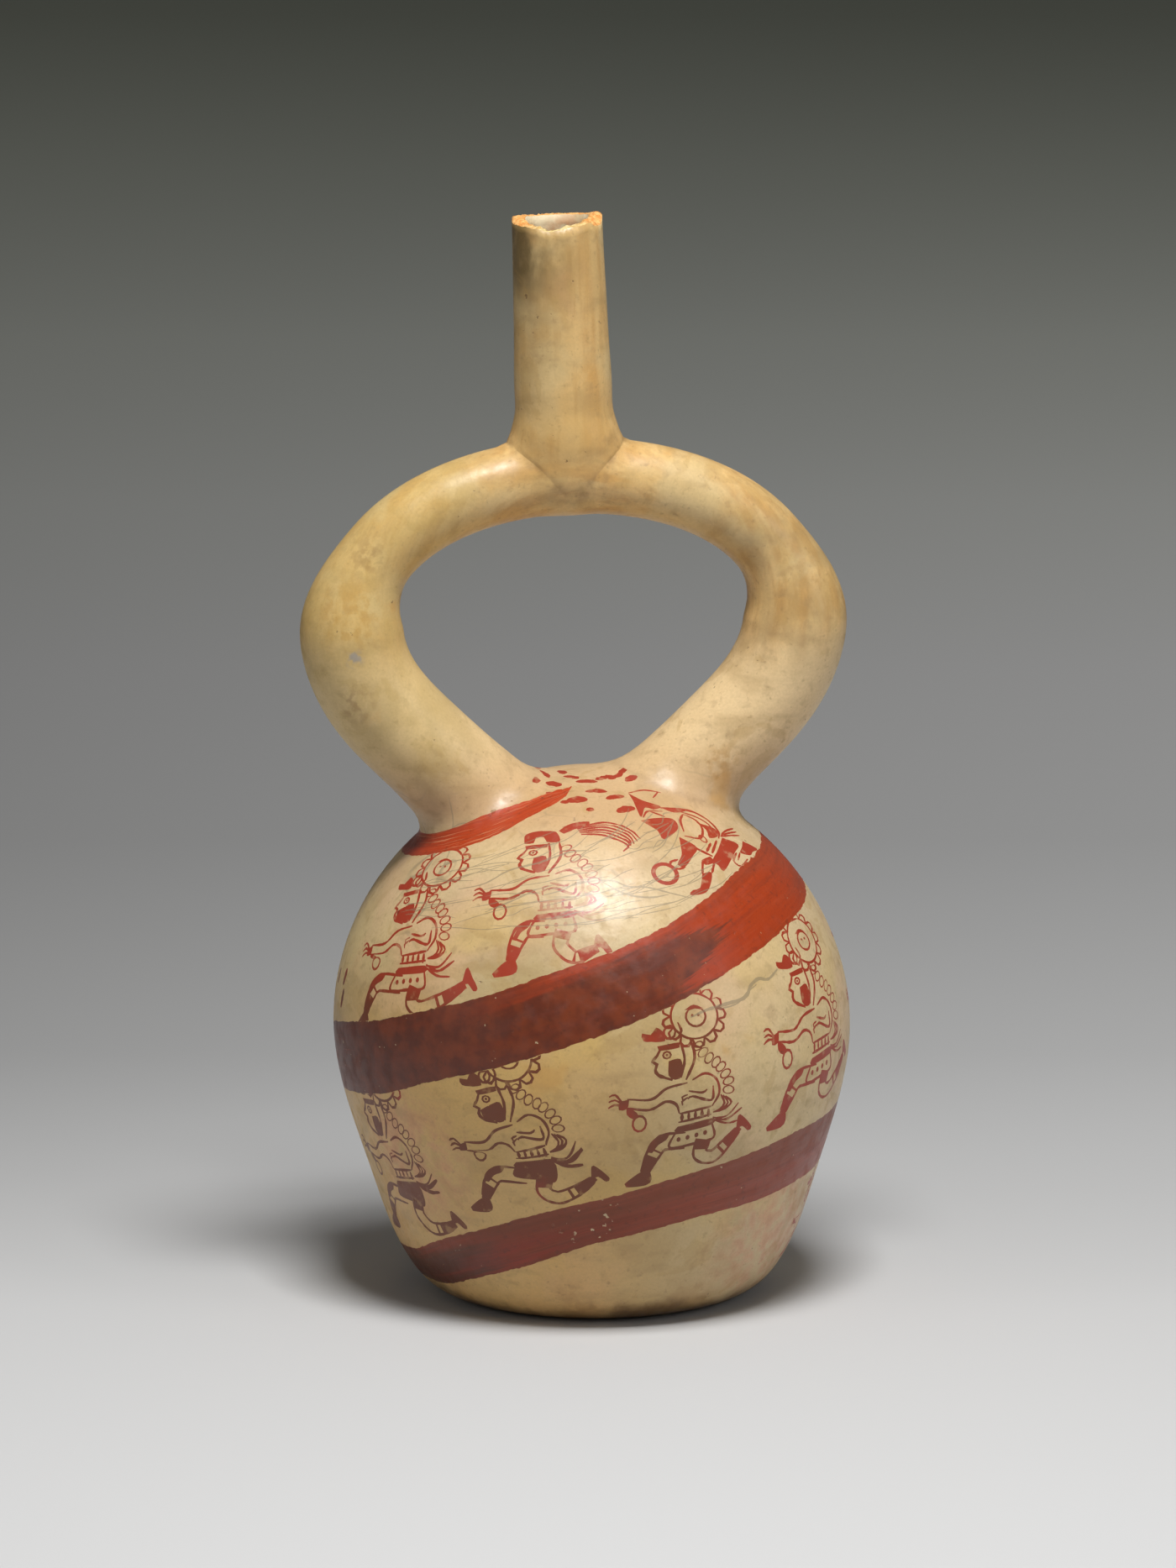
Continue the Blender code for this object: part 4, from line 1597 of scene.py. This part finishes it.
# The band's colour along its climb: direction in degrees, then red, green and blue
band_colours = (
    (-352, 108, 54, 34),
    (-160, 88, 48, 32),
    (-136, 94, 46, 28),
    (-118, 138, 46, 20),
    (-90, 120, 48, 18),
    (-60, 140, 62, 38),
    (-20, 150, 78, 62),
    (120, 126, 58, 36),
    (206, 94, 50, 38),
    (238, 104, 50, 34),
    (264, 132, 50, 24),
    (290, 158, 56, 22),
    (302, 160, 54, 14),
    (330, 160, 56, 16),
    (352, 154, 60, 28),
    (470, 160, 58, 24),
    (545, 136, 50, 24),
    (566, 164, 56, 22),
    (613, 176, 60, 18),
)


# Stains at one place of the arch: centre, reach, colour and strength
arch_stains = (
    ((-0.0630, -0.0200, 0.1815), 0.0130, (188, 148, 78), 0.65),
    ((-0.0585, -0.0200, 0.1975), 0.0090, (150, 116, 66), 0.52),
    ((-0.0620, -0.0220, 0.1580), 0.0080, (142, 104, 58), 0.42),
    ((-0.0700, -0.0140, 0.1725), 0.0040, (150, 142, 130), 0.95),
    ((-0.0617, -0.0225, 0.1705), 0.0034, (156, 148, 136), 0.95),
    ((0.0560, -0.0060, 0.1930), 0.0120, (176, 134, 72), 0.50),
    ((0.0330, -0.0100, 0.1400), 0.0080, (178, 132, 64), 0.60),
)


def washed(n, ground, washes):
    """A colour with several others laid over it in turn, each as (where, strength, colour)."""
    for where, strength, colour in washes:
        ground = n.mix(where * strength, ground, shade(*colour))
    return ground


def slip_ground(n, height, aside, deep):
    """Cream on the body, warmer tan with streaks along the arch and spout, blushed and mottled, with painted
    shade low on the body's left and painted light on its right.
    """
    body = washed(n, n.mix(n.cloud(22.0, 3.0, 0.38, 0.62), shade(*cream), shade(*cream_grey)), (
        (n.cloud(26.0, 3.0, 0.50, 0.68, shift=3.1), 0.70, cream_pink),
        (n.cloud(34.0, 3.0, 0.52, 0.66, shift=7.7), 0.70, cream_yellow),
        # Yellow-brown low on the body's left: partly its own warmer tone, partly painted shade
        (n.ramp(height, 0.100, 0.064) * n.ramp(aside, 0.040, -0.010), 0.62, (210, 164, 94)),
        (n.ramp(height, 0.092, 0.116), 0.45, (208, 180, 146)),
        (n.ramp(height, 0.120, 0.132), 0.75, (190, 150, 108)),
        # Painted light: the body paler on its right side
        (n.ramp(aside, 0.010, 0.052), 0.45, (222, 196, 156)),
    ))
    from_middle = aside - arch_middle[0]
    from_gap = height - arch_middle[1]
    around = n.add("ShaderNodeCombineXYZ")
    n.feed(around.inputs["X"], n.math("SQRT", from_middle * from_middle + from_gap * from_gap))
    n.feed(around.inputs["Y"], deep)
    n.feed(around.inputs["Z"], n.math("ARCTAN2", from_gap, from_middle) * 0.008)
    around = around.outputs["Vector"]
    on_arch = n.ramp(height, 0.224, 0.216)
    streak_spout = n.noise(150.0, 5.0, stretch=(1.0, 1.0, 0.10), shift=1.7)
    streak_arch = n.noise(230.0, 6.0, place=around, shift=1.7)
    hairs_spout = n.noise(420.0, 6.0, stretch=(1.0, 1.0, 0.08), shift=4.4)
    hairs_arch = n.noise(560.0, 6.0, place=around, shift=4.4)
    warm = washed(n, shade(*tan), (
        (n.ramp(n.mix(on_arch, streak_spout, streak_arch), 0.42, 0.66), 0.75, tan_ochre),
        (n.ramp(n.mix(on_arch, hairs_spout, hairs_arch), 0.47, 0.68), 0.50, (186, 142, 80)),
        (n.cloud(46.0, 4.0, 0.48, 0.64, shift=5.2), 0.80, cream),
    ))
    warm = n.mix(n.ramp(height, 0.182, 0.160), warm, shade(226, 198, 150))
    return n.mix(n.ramp(height, 0.128, 0.150) * 0.88, body, warm)


def dirt_and_shade(n, ground, height, aside, fine):
    """Olive soot under the mouth and on the legs, pink, ochre and brown stains, dust and hair cracks, with
    painted shade: olive down the spout's left side and on the left leg, darker on the arch's left, partly at
    the spout's foot.
    """
    # Where the olive lies: soot under the mouth and on the right leg, soot and painted shade on the left
    # leg, painted shade down the spout's left side
    places = (
        ((-0.0215, -0.0080, 0.2750), 0.024, 0.95),
        ((-0.0460, -0.0120, 0.1480), 0.030, 0.30),
        ((0.0460, 0.0010, 0.1860), 0.034, 0.34),
        ((-0.0235, -0.0060, 0.2600), 0.024, 0.22),
    )
    soot_and_shade_masks = [n.near(centre, reach) * strength for centre, reach, strength in places]
    soot_and_shade_here = n.larger(n.larger(n.larger(soot_and_shade_masks[0], soot_and_shade_masks[1]), soot_and_shade_masks[2]), soot_and_shade_masks[3])
    soot_and_shade_cloud = n.cloud(130.0, 6.0, 0.28, 0.62, stretch=(1.0, 1.0, 0.55), shift=9.0)
    ground = n.mix(soot_and_shade_here * soot_and_shade_cloud, ground, shade(*olive_soot_and_shade))
    drip = n.cloud(150.0, 5.0, 0.40, 0.60, stretch=(1.0, 1.0, 0.4), shift=13.0)
    blush = n.ramp(fine, 0.34, 0.60)
    upper = n.ramp(height, 0.128, 0.150)
    ground = washed(n, ground, (
        (n.near((-0.0050, -0.0165, 0.2650), 0.0120) * drip, 0.55, (186, 134, 92)),
        (n.near((-0.0010, -0.0125, 0.2420), 0.0050) * n.cloud(500.0, 3.0, 0.36, 0.60), 0.60, tan_ochre),
        (n.ramp(fine, 0.54, 0.74), 0.30, (140, 112, 72)),
        (n.cloud(700.0, 3.0, 0.60, 0.76, shift=4.0), 0.36, (134, 104, 64)),
        (n.cloud(120.0, 5.0, 0.50, 0.72, stretch=(0.6, 0.6, 1.6), shift=8.8), 0.34, (156, 128, 84)),
        (n.near((-0.0470, -0.0400, 0.0450), 0.028) * blush, 0.50, (206, 142, 112)),
        (n.near((0.0460, -0.0300, 0.0220), 0.030) * blush, 0.50, (208, 142, 118)),
        (n.cloud(38.0, 6.0, 0.53, 0.66, shift=15.0, distortion=0.6), 0.26, (166, 136, 84)),
        (n.cloud(64.0, 6.0, 0.57, 0.62, shift=16.0, distortion=1.4), 0.30, (176, 142, 84)),
        # Painted shade: the arch and spout darker and yellower on their left side
        (upper * n.ramp(aside, -0.020, -0.046), 0.40, (194, 168, 98)),
    ))
    flaky = n.cloud(380.0, 9.0, 0.42, 0.62, shift=18.0)
    ground = washed(n, ground, [(n.near(centre, reach) * flaky, strength, colour)
                                for centre, reach, colour, strength in arch_stains])
    base_dirt = n.ramp(height, 0.018, 0.003) * n.cloud(75.0, 6.0, 0.46, 0.60, shift=17.0)
    ground = washed(n, ground, (
        (base_dirt, 0.50, (148, 108, 60)),
        (n.cloud(1500.0, 4.0, 0.30, 0.70, shift=2.5), 0.14, (150, 122, 80)),
        # Ochre at the spout's foot: partly its own stain, partly painted shade dimming the top light on the
        # flare
        (n.near((-0.0080, -0.0130, 0.2270), 0.018), 0.40, (196, 156, 90)),
        (n.cloud(48.0, 4.0, 0.66, 0.74, shift=11.0), 0.55, tan_ochre),
    ))
    # A fine grey net of cracks, only in patches of the shoulder
    warped = n.mix(0.04, n.place, n.add("ShaderNodeTexNoise", noise_dimensions="3D").outputs["Color"])
    net = n.add("ShaderNodeTexVoronoi", feature="DISTANCE_TO_EDGE")
    n.feed(net.inputs["Vector"], warped)
    net.inputs["Scale"].default_value = 75.0
    shoulder = n.ramp(height, 0.094, 0.106) * n.ramp(height, 0.142, 0.130)
    net_here = n.ramp(net.outputs["Distance"], 0.030, 0.008) * n.cloud(30.0, 3.0, 0.52, 0.62, shift=6.0)
    return n.mix(net_here * shoulder * 0.55, ground, shade(*crack_grey))


def band_red(n, flow, along, across, height):
    """The band's reds along its climb, drawn out in brush streaks, with its dark overpainted stretch."""
    brush = n.noise(1.0, 5.0, stretch=(1.3, 6.5, 1.0), place=flow)
    fine = n.noise(1.0, 6.0, stretch=(4.0, 30.0, 1.0), place=flow, shift=2.0)
    wide = n.noise(1.0, 4.0, stretch=(1.2, 9.0, 1.0), place=flow, shift=5.0)
    slide = (brush - 0.5) * 1.5 + n.ramp(across, 0.66, 0.92) * 0.42
    first = band_colours[0][0]
    span = band_colours[-1][0] - first
    share = (along + slide - math.radians(first)) / math.radians(span)
    red = n.colours(share, [((degrees - first) / span, shade(*colour)) for degrees, *colour in band_colours])

    def between(start, end):
        return n.ramp(along, math.radians(start), math.radians(end))

    wavering = across + (brush - 0.5) * 0.36
    red = washed(n, red, (
        (n.ramp(wide, 0.50, 0.66), 0.22, (96, 44, 28)),
        (n.ramp(wide, 0.46, 0.30), 0.25, (164, 62, 32)),
        (n.ramp(fine, 0.48, 0.70), 0.20, (104, 48, 34)),
        (n.ramp(fine, 0.44, 0.26), 0.22, (178, 84, 52)),
        (between(60.0, 20.0) * n.ramp(wavering, 0.40, 0.66), 0.38, (112, 60, 30)),
        (between(-112.0, -124.0) * n.ramp(wavering, 0.80, 0.55), 0.40, (78, 44, 30)),
    ))
    fingers = n.math("SINE", across * 9.0) * 0.11 + (fine - 0.5) * 0.5
    end_dark = n.ramp(along + fingers, math.radians(304.0), math.radians(298.0))
    low_dark = n.larger(n.ramp(wavering, 0.90, 0.76), between(272.0, 236.0))
    overpaint = between(196.0, 210.0) * end_dark * low_dark
    mottle = n.cloud(200.0, 5.0, 0.36, 0.66, shift=3.7)
    dark_slip = n.mix(mottle, shade(88, 40, 24), shade(114, 52, 26))
    red = n.mix(overpaint * (0.62 + wide * 0.5), red, dark_slip)
    return washed(n, red, (
        (n.cloud(700.0, 4.0, 0.55, 0.75, shift=2.9), 0.35, (70, 40, 28)),
        (n.ramp(fine, 0.56, 0.64) * n.ramp(height, 0.118, 0.122), 0.50, (214, 140, 100)),
    ))


def painted_slip():
    """The outer skin: slip, band, lines and wear, with painted light and shade in places."""
    n = Nodes("painted_slip", 0.36)
    paint = n.add("ShaderNodeAttribute", attribute_name="paint")
    band, lines, cracks = n.split(paint.outputs["Color"], "Color")
    seams = Value(n, paint.outputs["Alpha"])
    flow = n.add("ShaderNodeAttribute", attribute_name="flow").outputs["Vector"]
    along, across, _ = n.split(flow)
    aside, deep, height = n.split(n.place)
    fine = n.noise(260.0, 6.0, shift=2.2)
    ground = dirt_and_shade(n, slip_ground(n, height, aside, deep), height, aside, fine)

    # The band's ragged edge and its flakes
    edge = n.smaller(across, 1.0 - across) + (n.noise(420.0, 5.0, shift=1.0) - 0.5) * 0.075
    band_here = band * (1.0 - n.ramp(edge, 0.006, -0.006))
    flakes = n.cloud(560.0, 3.0, 0.73, 0.75, shift=8.0) * 0.7
    flaked_place = n.near((-0.0010, -0.0600, 0.0300), 0.012)
    flakes = n.larger(flakes, flaked_place * n.cloud(460.0, 4.0, 0.645, 0.665, shift=3.0))
    colour = n.mix(band_here, ground, band_red(n, flow, along, across, height))

    # Lines: red above, brown below, paled on the shoulder where the highlight falls, partly by wear and
    # partly as a painted highlight
    browner = n.ramp(height, 0.094, 0.080) * n.ramp(aside, 0.046, 0.022)
    browner = browner * n.cloud(60.0, 3.0, 0.24, 0.44, shift=12.0)
    stroke = n.mix(browner, shade(158, 54, 30), shade(112, 56, 28))
    wear_and_highlight_here = n.near((-0.0020, -0.0520, 0.1120), 0.022) * n.ramp(fine, 0.40, 0.56)
    wear_and_highlight_on_lines = n.larger(wear_and_highlight_here * 0.72, n.cloud(300.0, 5.0, 0.56, 0.70, shift=5.0) * 0.35)
    colour = n.mix(lines * (1.0 - wear_and_highlight_on_lines) * (1.0 - band), colour, stroke)

    # Flakes, cracks, pits, the seams' dirt and the worn foot, over everything
    pits = n.cloud(420.0, 3.0, 0.71, 0.74, shift=14.0) * n.cloud(46.0, 2.0, 0.50, 0.60, shift=14.0)
    foot = n.ramp(height + (n.noise(55.0, 4.0, shift=1.3) - 0.5) * 0.016, 0.0070, 0.0012)
    colour = washed(n, colour, (
        (flakes, band * 0.85, (206, 188, 150)),
        (cracks, 0.62, crack_grey),
        (pits, 0.55, worn_brown),
        (seams * n.cloud(190.0, 4.0, 0.34, 0.56, shift=6.6), 0.32, worn_brown),
        (foot, 0.80, worn_brown),
    ))
    n.feed(n.shader.inputs["Base Color"], colour)

    # Satin from burnishing, duller where worn
    n.feed(n.shader.inputs["Roughness"], n.ramp(fine, 0.42, 0.70) * 0.16 + 0.36)
    burnish = n.noise(90.0, 3.0, stretch=(1.0, 1.0, 0.35), shift=2.7)
    n.bump(((burnish, 0.10), (n.noise(420.0, 5.0), 0.10), (1.0 - pits, 0.35), (1.0 - cracks, 0.20)), 0.0008)
    return n.material


def broken_clay():
    """Raw clay in the rim's breaks, paler in front."""
    n = Nodes("broken_clay", 0.85)
    grain = n.cloud(900.0, 5.0, 0.35, 0.65)
    raw = n.mix(grain, shade(200, 132, 62), shade(224, 172, 104))
    pale = n.mix(grain, shade(178, 150, 84), shade(222, 202, 146))
    front = n.near((-0.0095, -0.0115, 0.28), 0.0115) * 0.95
    n.feed(n.shader.inputs["Base Color"], n.mix(front, raw, pale))
    n.bump(((n.noise(1300.0, 6.0), 0.7),), 0.0006)
    return n.material


def inner_clay():
    """The unpainted inside, stained, with a pink place at the mouth's back."""
    n = Nodes("inner_clay", 0.75)
    stain = n.cloud(110.0, 4.0, 0.48, 0.64)
    pink = n.near((-0.006, 0.009, 0.274), 0.01) * n.cloud(160.0, 3.0, 0.40, 0.52)
    colour = n.mix(stain, shade(206, 190, 156), shade(190, 162, 120))
    n.feed(n.shader.inputs["Base Color"], n.mix(pink, colour, shade(186, 132, 88)))
    n.bump(((n.noise(500.0, 5.0), 0.4),), 0.0006)
    return n.material


def make_vessel():
    piece = bpy.data.objects.new("painted_bottle", vessel_mesh())
    bpy.context.scene.collection.objects.link(piece)
    for material in (painted_slip(), broken_clay(), inner_clay()):
        piece.data.materials.append(material)
    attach(piece, "root")
    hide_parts("bottle")
    return piece


# Studio

camera_elevation = math.radians(12.0)
camera_distance = 4.0
pixels_per_metre = 4617.0
image_height = 1867.0
sensor_size = 36.0
look_at = Vector((0.0, 0.0, 0.14))
frame_offset = (-0.00195, -0.00676)


def make_camera():
    data = bpy.data.cameras.new("camera")
    data.sensor_fit = "AUTO"
    data.sensor_width = sensor_size
    data.lens = sensor_size * pixels_per_metre * camera_distance / image_height
    data.clip_end = 30.0
    camera = bpy.data.objects.new("camera", data)
    bpy.context.scene.collection.objects.link(camera)
    ahead = Vector((0.0, math.cos(camera_elevation), -math.sin(camera_elevation)))
    up = Vector((0.0, math.sin(camera_elevation), math.cos(camera_elevation)))
    side = Vector((1.0, 0.0, 0.0))
    camera.location = look_at - ahead * camera_distance + side * frame_offset[0] + up * frame_offset[1]
    camera.rotation_euler = (math.pi / 2.0 - camera_elevation, 0.0, 0.0)
    bpy.context.scene.camera = camera


# The floor's colour by its distance behind the bottle in metres: a painted falloff of light, pale in front
# and dark far behind
floor_painted_falloff = (
    (-0.40, 0.62),
    (-0.02, 0.55),
    (0.27, 0.40),
    (0.55, 0.385),
    (0.80, 0.458),
    (1.07, 0.51),
    (1.37, 0.50),
    (1.72, 0.395),
    (2.07, 0.26),
    (2.60, 0.18),
)
# Painted shade on the floor's left and painted light on its right: its strength, and how dark and how pale
# it may make the floor
painted_side_shade = 0.75
darkest_side = 0.8
palest_side = 1.2
floor_reach = 9.0


def make_floor():
    """A wide floor, its colour a painted falloff of light from pale in front to dark grey-green behind the
    bottle, with painted shade on its left and painted light on its right.
    """
    points = [(x * floor_reach, y * floor_reach, 0.0) for x, y in ((-1, -1), (1, -1), (1, 1), (-1, 1))]
    data = bpy.data.meshes.new("studio_floor")
    data.from_pydata(points, [], [(0, 1, 2, 3)])
    floor = bpy.data.objects.new("studio_floor", data)
    bpy.context.scene.collection.objects.link(floor)
    n = Nodes("studio_paper", 0.9)
    n.shader.inputs["Specular IOR Level"].default_value = 0.1
    aside, behind, _ = n.split(n.place)
    # Painted falloff of light from front to back, tinted slightly green far back
    low = floor_painted_falloff[0][0]
    high = floor_painted_falloff[-1][0]
    share = (behind - low) / (high - low)
    stops = []
    for distance, level in floor_painted_falloff:
        green = min(1.0, max(0.0, (distance - 0.8) / 1.3))
        colour = (level * (1.0 - 0.04 * green), level * (1.0 + 0.03 * green),
                  level * (1.0 - 0.13 * green), 1.0)
        stops.append(((distance - low) / (high - low), colour))
    # Painted shade to the left and painted light to the right, from a little behind the bottle to far back
    side = aside * painted_side_shade * (n.ramp(behind, 0.0,
                                                       0.3) * n.ramp(behind, 2.2, 0.7))
    side = n.smaller(n.larger(side + 1.0, darkest_side), palest_side)
    scaled = n.add("ShaderNodeVectorMath", operation="SCALE")
    n.feed(scaled.inputs[0], n.colours(share, stops))
    n.feed(scaled.inputs["Scale"], side)
    n.feed(n.shader.inputs["Base Color"], scaled.outputs["Vector"])
    floor.data.materials.append(n.material)


# Soft boxes: name, place, what each is aimed at, watts, width and height
soft_boxes = (
    ("top_box", (0.08, -0.39, 1.14), (0.0, 0.0, 0.10), 14.8, 0.36, 0.30),
    ("left_box", (-1.5, -0.7, 0.75), (0.0, 0.0, 0.12), 1.5, 0.6, 0.9),
    ("right_box", (1.4, -0.8, 0.8), (0.0, 0.0, 0.12), 3.4, 0.6, 0.9),
)


def make_light(name, place, aim, power, width, height):
    data = bpy.data.lights.new(name, "AREA")
    data.shape = "RECTANGLE"
    data.size = width
    data.size_y = height
    data.energy = power
    light = bpy.data.objects.new(name, data)
    light.location = place
    light.rotation_euler = (Vector(aim) - Vector(place)).to_track_quat("-Z", "Y").to_euler()
    bpy.context.scene.collection.objects.link(light)


world_colour = (1.0, 0.98, 0.93, 1.0)
world_strength = 0.12


def make_world():
    world = bpy.data.worlds.new("studio")
    world.use_nodes = True
    light = world.node_tree.nodes["Background"].inputs
    light["Color"].default_value = world_colour
    light["Strength"].default_value = world_strength
    bpy.context.scene.world = world


def main():
    bpy.context.scene.view_settings.view_transform = "Standard"
    make_camera()
    make_floor()
    make_world()
    for box in soft_boxes:
        make_light(*box)
    make_vessel()


main()
